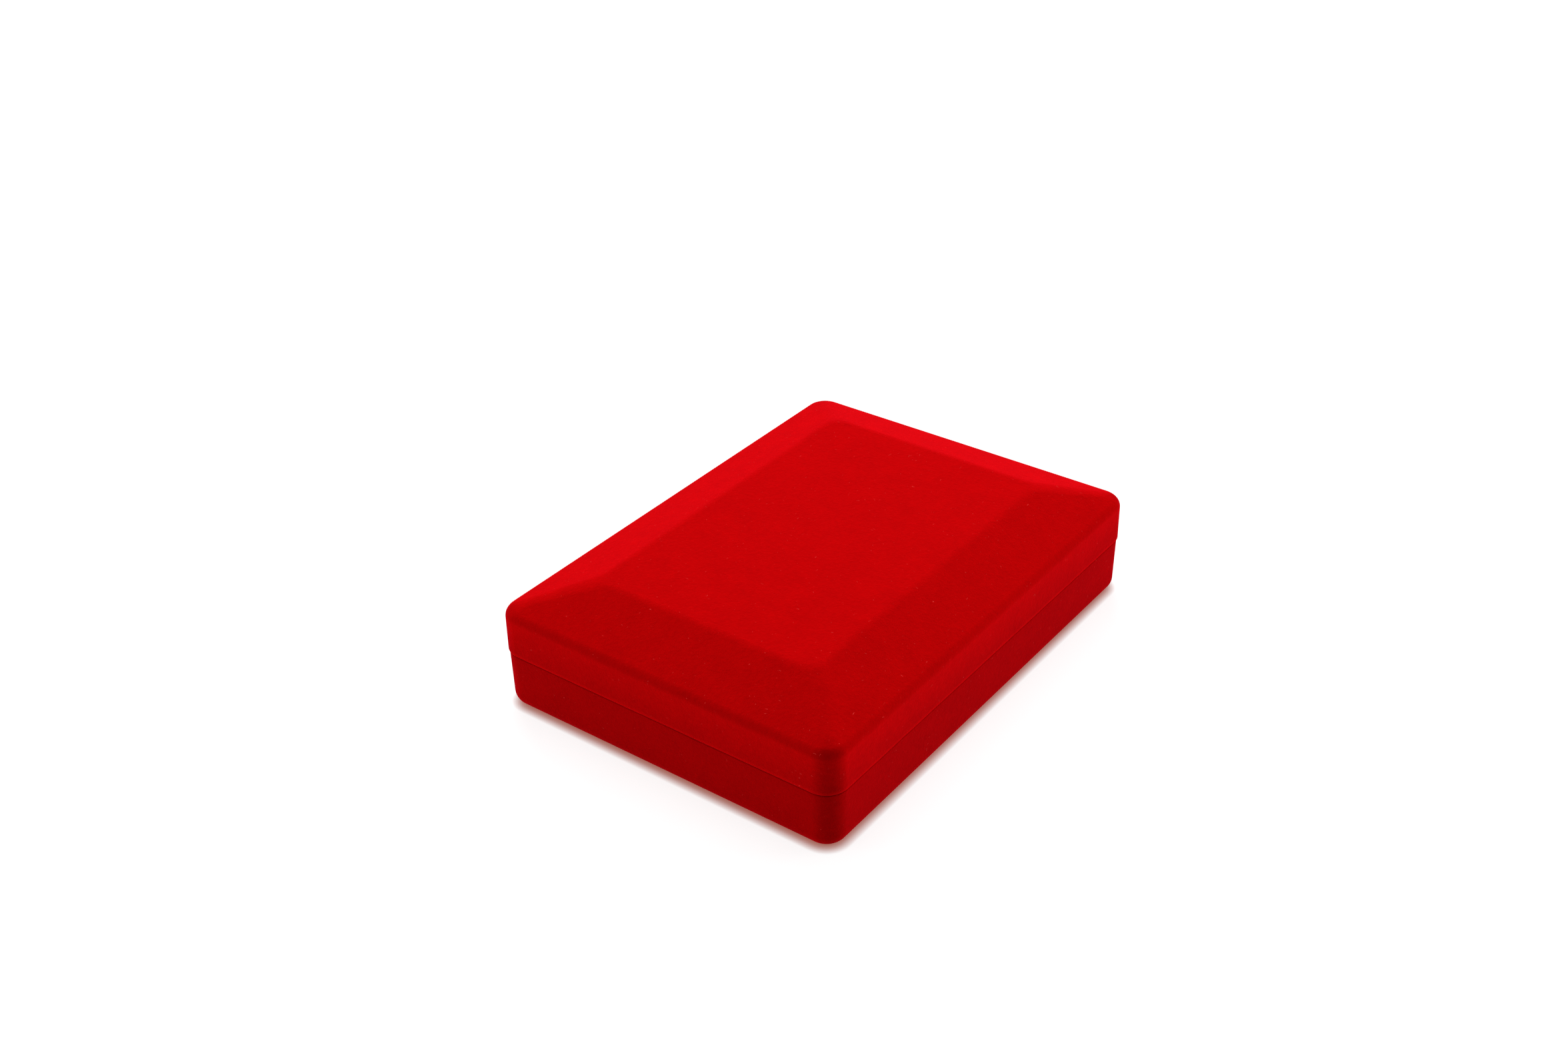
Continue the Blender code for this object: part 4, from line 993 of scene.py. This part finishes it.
# The pad's foam: a thin die-cut sheet of white open-celled foam, glued on the board. The velvet that is drawn over it
# rounds its edge and leaves it a low crown.
FOAM_THICKNESS = 0.0013
FOAM_EDGE_STEPS = 4
PAD_CROWN = 0.0005
CROWN_REACH = 0.75
CROWN_STEPS = 14
FOAM_FOOT = PLATFORM_TOP + SEAT_GAP
FOAM_EDGE = FOAM_FOOT + FOAM_THICKNESS


def soft_fill_group():
    """White filling seen close: open cells in foam, or crossed fibres in wadding, as a height and as a colour that has
    painted shade in its hollows.
    """
    group, given = group_with("Soft fill", "ShaderNodeTree", {
        "Colour": "Color", "Cell Size": "Float", "Cell Stretch": "Vector", "Cell Shade": "Float",
    }, {"Colour": "Color", "Height": "Float"})
    sum_of, less, times, over = arithmetic(group)
    spot = group.nodes.new("ShaderNodeTexCoord").outputs["Object"]
    drawn = maths(group, "MULTIPLY", spot, given["Cell Stretch"], kind="ShaderNodeVectorMath")
    cells = cells_at(group, drawn, over(1.0, given["Cell Size"]))["Distance"]
    fuzz = noise_at(group, drawn, over(2.2, given["Cell Size"]), 3.0)["Fac"]
    height = sum_of(cells, times(fuzz, 0.5))
    # Painted shade: the colour is darker where the cells and the gaps between fibres sink in.
    drop = times(less(0.9, height), given["Cell Shade"])
    place_node(group, "NodeGroupOutput", {
        "Colour": scaled(group, given["Colour"], less(1.0, drop)), "Height": height})
    return group


soft_fill = soft_fill_group()


def fill_material(name, colour, cell_size, stretch, shade, depth):
    """A white filling with the cells or fibres above."""
    material, tree = new_material(name)
    fill = place_node(tree, "ShaderNodeGroup", {
        "Colour": colour, "Cell Size": cell_size, "Cell Stretch": stretch, "Cell Shade": shade},
        node_tree=soft_fill).outputs
    one_finish(tree, {
        "Base Color": fill["Colour"], "Roughness": 0.95, "Specular IOR Level": 0.15, "Sheen Weight": 0.3,
        "Normal": raised(tree, fill["Height"], 0.6, depth)})
    return material


open_foam = fill_material("white_open_foam", (0.84, 0.83, 0.79, 1.0), 0.00045, (1.0, 1.0, 1.0), 0.30, 0.00012)


def crowned(edge_inset, edge_z, last_inset, height, steps=CROWN_STEPS):
    """Profile points that swell from an edge towards the middle like a stuffed pad."""
    points = []
    for step in range(1, steps + 1):
        turn = math.pi / 2 * step / steps
        inset = edge_inset + (last_inset - edge_inset) * (1 - math.cos(turn))
        points.append((inset, edge_z + height * math.sin(turn)))
    return points


middle_inset = HALF_WIDTH * CROWN_REACH


def stuffed(inset, foot, edge_z, turn_in, turn_down, steps, crown, middle):
    """Profile of a pad or its cloth: up the side, over a rounded edge, and across the crown to the middle."""
    points = [(inset, foot), (inset, edge_z - turn_down)]
    points += crowned(inset, edge_z - turn_down, inset + turn_in, turn_down, steps)
    points += crowned(inset + turn_in, edge_z, middle_inset, crown)
    return points + [(middle, edge_z + crown)]


foam_profile = stuffed(
    0.0, FOAM_FOOT, FOAM_EDGE, FOAM_THICKNESS, FOAM_THICKNESS / 2, FOAM_EDGE_STEPS, PAD_CROWN, middle)
foam_profile = marked([(middle, FOAM_FOOT)] + foam_profile)
foam = lofted("pad_foam_sheet", foam_profile, platform_sizes, open_foam, open_foam, PAD_STEPS)
foam = even_shading(slit_through(foam, open_foam))
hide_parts("pad_foam")
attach(foam, "base")


# The pad's cover: red velvet cut a little larger than the pad, drawn over the foam and down the board's sides, and
# glued at its hem. Its nap is brushed this way and that, and it dips where the slits are cut.
COVER_EDGE_RADIUS = 0.0010
COVER_EDGE_STEPS = 7
COVER_HEM_LIFT = 0.0004
SLIT_DIP = 0.00028
SLIT_DIP_REACH = 0.0016
SLIT_LEAN = 0.0002
NAP_SWELL = 0.00009
NAP_SWELL_SIZE = 0.006
VELVET_RED = (0.80, 0.0022, 0.0036)
VELVET_END_ON = 0.34
VELVET_SHEEN = 0.3
VELVET_GRAIN = (0.00034, 0.5)
VELVET_CLOUDS = (0.012, 0.5)

velvet = flock_material("red_velvet_cloth", VELVET_RED, VELVET_END_ON, VELVET_SHEEN, VELVET_GRAIN, VELVET_CLOUDS)
cover_sizes = pad_sizes(PAD_OUTER_INSET)
cover_middle = cover_sizes[0]
hem = PLATFORM_FOOT + COVER_HEM_LIFT
inner_edge = FOAM_EDGE + SEAT_GAP
outer_edge = inner_edge + COVER_THICKNESS
half_edge = COVER_EDGE_RADIUS / 2
inner = stuffed(
    COVER_THICKNESS, hem, inner_edge, half_edge, half_edge, FOAM_EDGE_STEPS, PAD_CROWN, cover_middle)
outer = stuffed(
    0.0, hem, outer_edge, COVER_EDGE_RADIUS, COVER_EDGE_RADIUS, COVER_EDGE_STEPS, PAD_CROWN, cover_middle)
cover_profile = run_through(marked(inner[::-1] + outer))
cover = lofted("pad_cover_velvet", cover_profile, cover_sizes, velvet, velvet, PAD_STEPS)
slit_middle = Vector((HALF_WIDTH - SLIT_INSET, HALF_LENGTH - PAD_BACK_SPACE - SLIT_INSET))
slit_along = Vector((math.cos(-SLIT_ANGLE), math.sin(-SLIT_ANGLE)))
for vertex in cover.data.vertices:
    if vertex.co.z > inner_edge - half_edge:
        swell = noise.noise(vertex.co / NAP_SWELL_SIZE) * NAP_SWELL
        away = Vector((abs(vertex.co.x), vertex.co.y)) - slit_middle
        reach_along = max(abs(away.dot(slit_along)) - SLIT_LENGTH / 2, 0.0)
        distance = math.hypot(reach_along, away.cross(slit_along))
        dip = SLIT_DIP * math.exp(-(distance / SLIT_DIP_REACH) ** 2)
        vertex.co.z += min(swell, 0.0) - dip
cover = even_shading(slit_through(cover, velvet, SLIT_LEAN))
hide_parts("pad_cover")
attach(cover, "base")


# The upper half: a second flocked shell, with a raised flat panel, four mitred slopes, a rounded shoulder and
# upright walls. Its lip stands slightly proud of the lower half, and its edge is wrapped by the pile too.
SHOULDER_HEIGHT = 0.0192
SHOULDER_RADIUS = 0.0018
INNER_SHOULDER_RADIUS = 0.0006
LID_TAPER = 0.00008
PANEL_BORDER = 0.0124
PANEL_BLEND_RADIUS = 0.0050
SHOULDER_MITRE_RADIUS = 0.0016
PANEL_MITRE_RADIUS = 0.0031
LID_STAKE_RISE = 0.0038
LID_LEAF_HEIGHT = 0.0060
BLEND_STEPS = 8
# A painted highlight along the lid's lip: its width and its gain.
LIP_HIGHLIGHT_WIDTH = 0.0008
LIP_HIGHLIGHT_GAIN = 0.20
# The lid's wall is painted paler upwards: painted light and shade.
WALL_SHADE_GAIN = 0.24
# Painted shade along the lid's shoulder.
SHOULDER_SHADE = 0.11
# Painted shade at the lid's upright corners.
CORNER_SHADE = 0.18

lid_rim_z = SEAM_HEIGHT + SEAM_GAP / 2 - PILE_FILL
flock_lid = flock_material(
    "red_flock_lid", FLOCK_RED, FLOCK_END_ON, FLOCK_SHEEN, FLOCK_GRAIN, FLOCK_CLOUDS,
    edge=(lid_rim_z, LIP_HIGHLIGHT_WIDTH, LIP_HIGHLIGHT_GAIN), wall=(lid_rim_z, SHOULDER_HEIGHT, WALL_SHADE_GAIN),
    shaded=(SHOULDER_SHADE, CORNER_SHADE))


def mitred(profile):
    """Rounds the mitres between the slopes, and more so towards the corners of the panel."""
    widening = PANEL_MITRE_RADIUS - SHOULDER_MITRE_RADIUS
    return [(*point[:4], SHOULDER_MITRE_RADIUS + widening * min(point[0] / PANEL_BORDER, 1.0)) for point in profile]


panel_middle = (HALF_WIDTH, CASE_HEIGHT)
panel_edge = (PANEL_BORDER, CASE_HEIGHT)
shoulder = (LID_TAPER, SHOULDER_HEIGHT)
lid_lip = (0.0, lid_rim_z)
lid_inner_lip = (WALL, lid_rim_z)
slope = math.atan2(CASE_HEIGHT - SHOULDER_HEIGHT, PANEL_BORDER - LID_TAPER)
ceiling = CASE_HEIGHT - WALL
inner_shoulder = (LID_TAPER + WALL, SHOULDER_HEIGHT + WALL * math.tan(slope) - WALL / math.cos(slope))
inner_panel = (inner_shoulder[0] + (ceiling - inner_shoulder[1]) / math.tan(slope), ceiling)
ceiling_middle = (HALF_WIDTH, ceiling)
top = [panel_middle] + rounded_turn(panel_middle, panel_edge, shoulder, PANEL_BLEND_RADIUS, BLEND_STEPS)
top += rounded_turn(panel_edge, shoulder, lid_lip, SHOULDER_RADIUS, TURN_STEPS)
edge = rounded_turn(shoulder, lid_lip, lid_inner_lip, LIP_RADIUS, LIP_STEPS)
inner_edge = rounded_turn(lid_lip, lid_inner_lip, inner_shoulder, INNER_LIP_RADIUS, INNER_LIP_STEPS)
inside = rounded_turn(lid_inner_lip, inner_shoulder, inner_panel, INNER_SHOULDER_RADIUS, BLEND_STEPS)
inside += rounded_turn(inner_shoulder, inner_panel, ceiling_middle, PANEL_BLEND_RADIUS, BLEND_STEPS)
inside.append(ceiling_middle)
lid_profile = mitred(marked(top)) + marked(edge, 1.0)
lid_profile = run_through(lid_profile + marked(inner_edge, INNER_LIP_WAVE, 1.0) + marked(inside, 0.0, 1.0))
lid = lofted("lid_shell_flocked", lid_profile, CASE_SIZES, flock_lid, bare_plastic, waviness=LIP_WAVINESS)
lid = carve(
    lid,
    ("DIFFERENCE", hinge_groove("lid_groove", flock_lid)),
    ("UNION", hinge_seat("lid_seat", AXIS_Z + RELIEF_RADIUS + SEAT_EDGE, AXIS_Z + LID_LEAF_HEIGHT)),
    ("UNION", melted_stake("lid_stake_left", -STAKE_SPACING / 2, AXIS_Z + LID_STAKE_RISE)),
    ("UNION", melted_stake("lid_stake_right", STAKE_SPACING / 2, AXIS_Z + LID_STAKE_RISE)),
    ("DIFFERENCE", knuckle_space("lid_knuckle_space")),
)
lid = even_shading(lid)
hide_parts("lid_shell")
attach(lid, "lid")


# The lid's lining card: a plain die-cut piece of grey board. The satin is drawn round it, and the card is then pressed
# into the lid, where it stays wedged under the shoulder.
LINING_CORNER_RADIUS = 0.0020
SATIN_THICKNESS = 0.0004
LINING_CARD = 0.0008
LINING_CARD_EDGE = 0.00008
LINING_INSET = WALL + LID_TAPER + SEAT_GAP
LINING_CARD_INSET = SATIN_THICKNESS + SEAT_GAP
LINING_TOP = inner_shoulder[1] - SEAT_GAP

lining_card = worked_copy("lining_card", "lining_card_board", LINING_CARD_EDGE, grey_board)
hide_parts("lining_card")
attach(lining_card, "lid")

lining_front = -HALF_LENGTH + LINING_INSET
lining_back = HALF_LENGTH - LIP_OVERHANG - WALL - PAD_BACK_SPACE
lining_half_x = HALF_WIDTH - LINING_INSET
lining_half_y = (lining_back - lining_front) / 2
lining_centre = (lining_back + lining_front) / 2
lining_sizes = (lining_half_x, lining_half_y, lining_centre, LINING_CORNER_RADIUS)


def hanging(profile):
    """Turns a profile over, so that what rose from zero hangs down from the back of the lining."""
    return [(inset, LINING_TOP - z) for inset, z in profile]


# The wadding: a thin layer of white fibre between the card and the satin, fullest in the middle. The satin is cut a
# little too large and tacked round its edge in small gathers, and its folds press into the wadding, so the cloth is
# simulated here, for both.
WADDING_EDGE = 0.0006
LINING_CROWN = 0.0010
CLOTH_SCALE = 20.0
CLOTH_CELL = 0.00075
CLOTH_FRAMES = 22
CLOTH_PRESSURE = 1.6
GATHER_PITCH = 0.0036
GATHER_DEPTH = 0.0004
GATHER_BAND = 0.0120
GATHER_FADE = 0.0015
GATHER_SPARE = 0.09
PITCH_DRIFT = 0.009
DEPTH_DRIFT = 0.012
CLOTH_RIPPLE = 0.00006
RIPPLE_SIZE = 0.004
SWELL_CELLS = 4
SWELL_PASSES = 3
FOLD_GAIN = 2.6
FOLD_REST = 0.00012
DEEPEST_FOLD = 0.00050
FOLD_EDGE = 0.0011
LAST_CELL = 0.9999
LINING_STEPS = (10, 96)


def tacked_cloth(name, half_x, half_y, columns, rows):
    """A flat cloth with its edge tacked in uneven gathers, and the groups that say where it is tacked and loose."""
    spots, tacked, looseness = [], [], []
    for row in range(rows + 1):
        for column in range(columns + 1):
            x = half_x * (2 * column / columns - 1)
            y = half_y * (2 * row / rows - 1)
            inside_x, inside_y = half_x - abs(x), half_y - abs(y)
            inset = max(min(inside_x, inside_y), 0.0)
            along, side = (y, math.copysign(1.0, x)) if inside_x < inside_y else (x, math.copysign(3.0, y))
            phase = along / GATHER_PITCH
            phase += 1.1 * noise.noise(Vector((along, 0.003, PITCH_DRIFT * side)) / PITCH_DRIFT)
            wave = (0.5 + 0.5 * math.cos(2 * math.pi * phase)) * math.exp(-inset / GATHER_FADE)
            uneven = 0.7 + 0.6 * noise.noise(Vector((along, 0.001, DEPTH_DRIFT * side)) / DEPTH_DRIFT)
            ripple = CLOTH_RIPPLE * noise.noise(Vector((x, y, 0.002)) / RIPPLE_SIZE)
            spots.append(Vector((x, y, ripple - GATHER_DEPTH * wave * uneven)) * CLOTH_SCALE)
            looseness.append(max(0.0, 1.0 - inset / GATHER_BAND))
            if column in (0, columns) or row in (0, rows):
                tacked.append(len(spots) - 1)
    across = columns + 1
    corners = [row * across + column for row in range(rows) for column in range(columns)]
    mesh = bpy.data.meshes.new(name)
    mesh.from_pydata(spots, [], [(first, first + 1, first + across + 1, first + across) for first in corners])
    cloth = added(name, mesh)
    cloth.vertex_groups.new(name="tacked").add(tacked, 1.0, "REPLACE")
    loose = cloth.vertex_groups.new(name="loose")
    for index, weight in enumerate(looseness):
        loose.add([index], weight, "REPLACE")
    return cloth


def evened(heights, reach):
    """Each height becomes the mean of its neighbours along its row."""
    result = []
    for row in heights:
        last = len(row) - 1
        near = [[row[min(max(i + step, 0), last)] for step in range(-reach, reach + 1)] for i in range(len(row))]
        result.append([sum(values) / len(values) for values in near])
    return result


def gathered_folds(half_x, half_y):
    """Simulates the satin while the wadding pushes it out, and gives how far its folds sink in at each place."""
    columns = round(2 * half_x / CLOTH_CELL)
    rows = round(2 * half_y / CLOTH_CELL)
    cloth = tacked_cloth("satin_being_tacked", half_x, half_y, columns, rows)
    modifier = cloth.modifiers.new("Cloth", "CLOTH")
    settings = modifier.settings
    settings.quality = 6
    settings.mass = 0.25
    settings.tension_stiffness = 25.0
    settings.compression_stiffness = 25.0
    settings.shear_stiffness = 10.0
    settings.bending_stiffness = 0.15
    settings.air_damping = 2.0
    settings.vertex_group_mass = "tacked"
    settings.vertex_group_shrink = "loose"
    settings.shrink_min = -0.004
    settings.shrink_max = -GATHER_SPARE
    settings.use_pressure = True
    settings.uniform_pressure_force = CLOTH_PRESSURE
    settings.effector_weights.gravity = 0.0
    modifier.collision_settings.use_collision = False
    modifier.point_cache.frame_end = CLOTH_FRAMES
    scene = bpy.context.scene
    for step in range(1, CLOTH_FRAMES + 1):
        scene.frame_set(step)
    done = cloth.evaluated_get(bpy.context.evaluated_depsgraph_get()).data.vertices
    across = columns + 1
    heights = [[done[row * across + column].co.z / CLOTH_SCALE for column in range(across)] for row in range(rows + 1)]
    bpy.data.objects.remove(cloth, do_unlink=True)
    scene.frame_set(1)
    swell = heights
    for _ in range(SWELL_PASSES):
        swell = evened(swell, SWELL_CELLS)
        swell = list(zip(*evened(list(zip(*swell)), SWELL_CELLS)))

    def sink_at(x, y):
        """How far a fold sinks in here, read between the cloth's own points."""
        at_column = min(max((x / half_x + 1) / 2, 0.0), LAST_CELL) * columns
        at_row = min(max((y / half_y + 1) / 2, 0.0), LAST_CELL) * rows
        column, row = int(at_column), int(at_row)
        rise = 0.0
        for right in (0, 1):
            for up in (0, 1):
                share = abs(1 - right - (at_column - column)) * abs(1 - up - (at_row - row))
                rise += share * (heights[row + up][column + right] - swell[row + up][column + right])
        inset = max(min(half_x - abs(x), half_y - abs(y)), 0.0)
        edge = min(inset / FOLD_EDGE, 1.0)
        return min(max(FOLD_REST - rise * FOLD_GAIN, 0.0), DEEPEST_FOLD) * edge * edge * (3 - 2 * edge)

    return sink_at


sink_at = gathered_folds(lining_half_x, lining_half_y)
white_wadding = fill_material(
    "white_fibre_wadding", (0.86, 0.85, 0.82, 1.0), 0.0011, (1.0, 0.25, 1.0), 0.22, 0.00018)
wadding_foot = LINING_CARD + SEAT_GAP
wadding_edge = wadding_foot + WADDING_EDGE
wadding_profile = [(lining_half_x, wadding_foot), (LINING_CARD_INSET, wadding_foot), (LINING_CARD_INSET, wadding_edge)]
wadding_profile += crowned(LINING_CARD_INSET, wadding_edge, middle_inset, LINING_CROWN)
wadding_profile.append((lining_half_x, wadding_edge + LINING_CROWN))
wadding_profile = run_through(marked(hanging(wadding_profile)))
wadding = lofted("lining_wadding_layer", wadding_profile, lining_sizes, white_wadding, white_wadding, LINING_STEPS)
for vertex in wadding.data.vertices:
    if vertex.co.z < LINING_TOP - wadding_foot - WADDING_EDGE / 2:
        vertex.co.z += sink_at(vertex.co.x, vertex.co.y - lining_centre)
wadding = even_shading(wadding)
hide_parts("lining_wadding")
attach(wadding, "lid")


# The lid's lining: ivory satin drawn over the wadding and turned up round the card, where it is glued. It is
# stretched smooth in the middle and gathers in small folds along its edge, more so at the corners.
SATIN_EDGE_RADIUS = 0.0009
SATIN_EDGE_STEPS = 7
SATIN_RUN = 0.0010
SATIN_FACE_SPARE = 0.0002
SATIN_EDGE_BAND = 0.0006
SATIN_SMOOTH_ANGLE = math.radians(60.0)
SATIN_IVORY = (0.87, 0.815, 0.70)
TWILL_ANGLE = 1.12


def satin_material():
    """Satin: a smooth ivory face whose long floats lie one way, so its shine is drawn out across them."""
    material, tree = new_material("ivory_satin_cloth")
    flat = place_node(tree, "ShaderNodeUVMap", uv_map="flat_cloth").outputs[0]
    floats = place_node(tree, "ShaderNodeTexWave", {
        "Vector": stretched(tree, flat, turn=(0.0, 0.0, TWILL_ANGLE)), "Scale": 900.0, "Distortion": 1.2,
        "Detail": 1.0, "Detail Scale": 2.0}).outputs["Fac"]
    slub = noise_at(tree, stretched(tree, flat, stretch=(1.0, 0.06, 1.0)), 3000.0, 3.0, 0.6)["Fac"]
    height = maths(tree, "ADD", floats, maths(tree, "MULTIPLY", slub, 1.5))
    one_finish(tree, {
        "Base Color": scaled(tree, SATIN_IVORY, ranged(tree, slub, 0.0, 1.0, 0.93, 1.05)),
        "Roughness": ranged(tree, slub, 0.0, 1.0, 0.24, 0.40), "Anisotropic": 0.55, "Sheen Weight": 0.25,
        "Specular IOR Level": 0.45, "Normal": raised(tree, height, 0.22, 0.00002)})
    return material


satin_cloth = satin_material()
inner_face = LINING_CARD + SEAT_GAP + WADDING_EDGE + SEAT_GAP
outer_face = inner_face + SATIN_THICKNESS
inner = [(SATIN_THICKNESS, 0.0), (SATIN_THICKNESS, inner_face)]
inner += crowned(SATIN_THICKNESS, inner_face, middle_inset, LINING_CROWN)
inner.append((lining_half_x, inner_face + LINING_CROWN))
outer = stuffed(
    0.0, 0.0, outer_face, SATIN_EDGE_RADIUS, SATIN_EDGE_RADIUS, SATIN_EDGE_STEPS, LINING_CROWN, lining_half_x)
satin_profile = run_through(marked(hanging(inner[::-1] + outer)), SATIN_RUN)
satin = lofted("lining_satin_cloth", satin_profile, lining_sizes, satin_cloth, satin_cloth, LINING_STEPS)
face_z = LINING_TOP - inner_face
for vertex in satin.data.vertices:
    if vertex.co.z < face_z + SATIN_FACE_SPARE:
        vertex.co.z += sink_at(vertex.co.x, vertex.co.y - lining_centre)

cloth_map = satin.data.uv_layers.new(name="flat_cloth")
for loop in satin.data.loops:
    spot = satin.data.vertices[loop.vertex_index].co
    rise = max(spot.z - face_z, 0.0)
    y = spot.y - lining_centre
    u = spot.x + math.copysign(rise, spot.x) * (lining_half_x - abs(spot.x) < SATIN_EDGE_BAND)
    v = spot.y + math.copysign(rise, y) * (lining_half_y - abs(y) < SATIN_EDGE_BAND)
    cloth_map.data[loop.index].uv = (u, v)
satin = even_shading(satin, SATIN_SMOOTH_ANGLE)
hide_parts("lining_satin")
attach(satin, "lid")
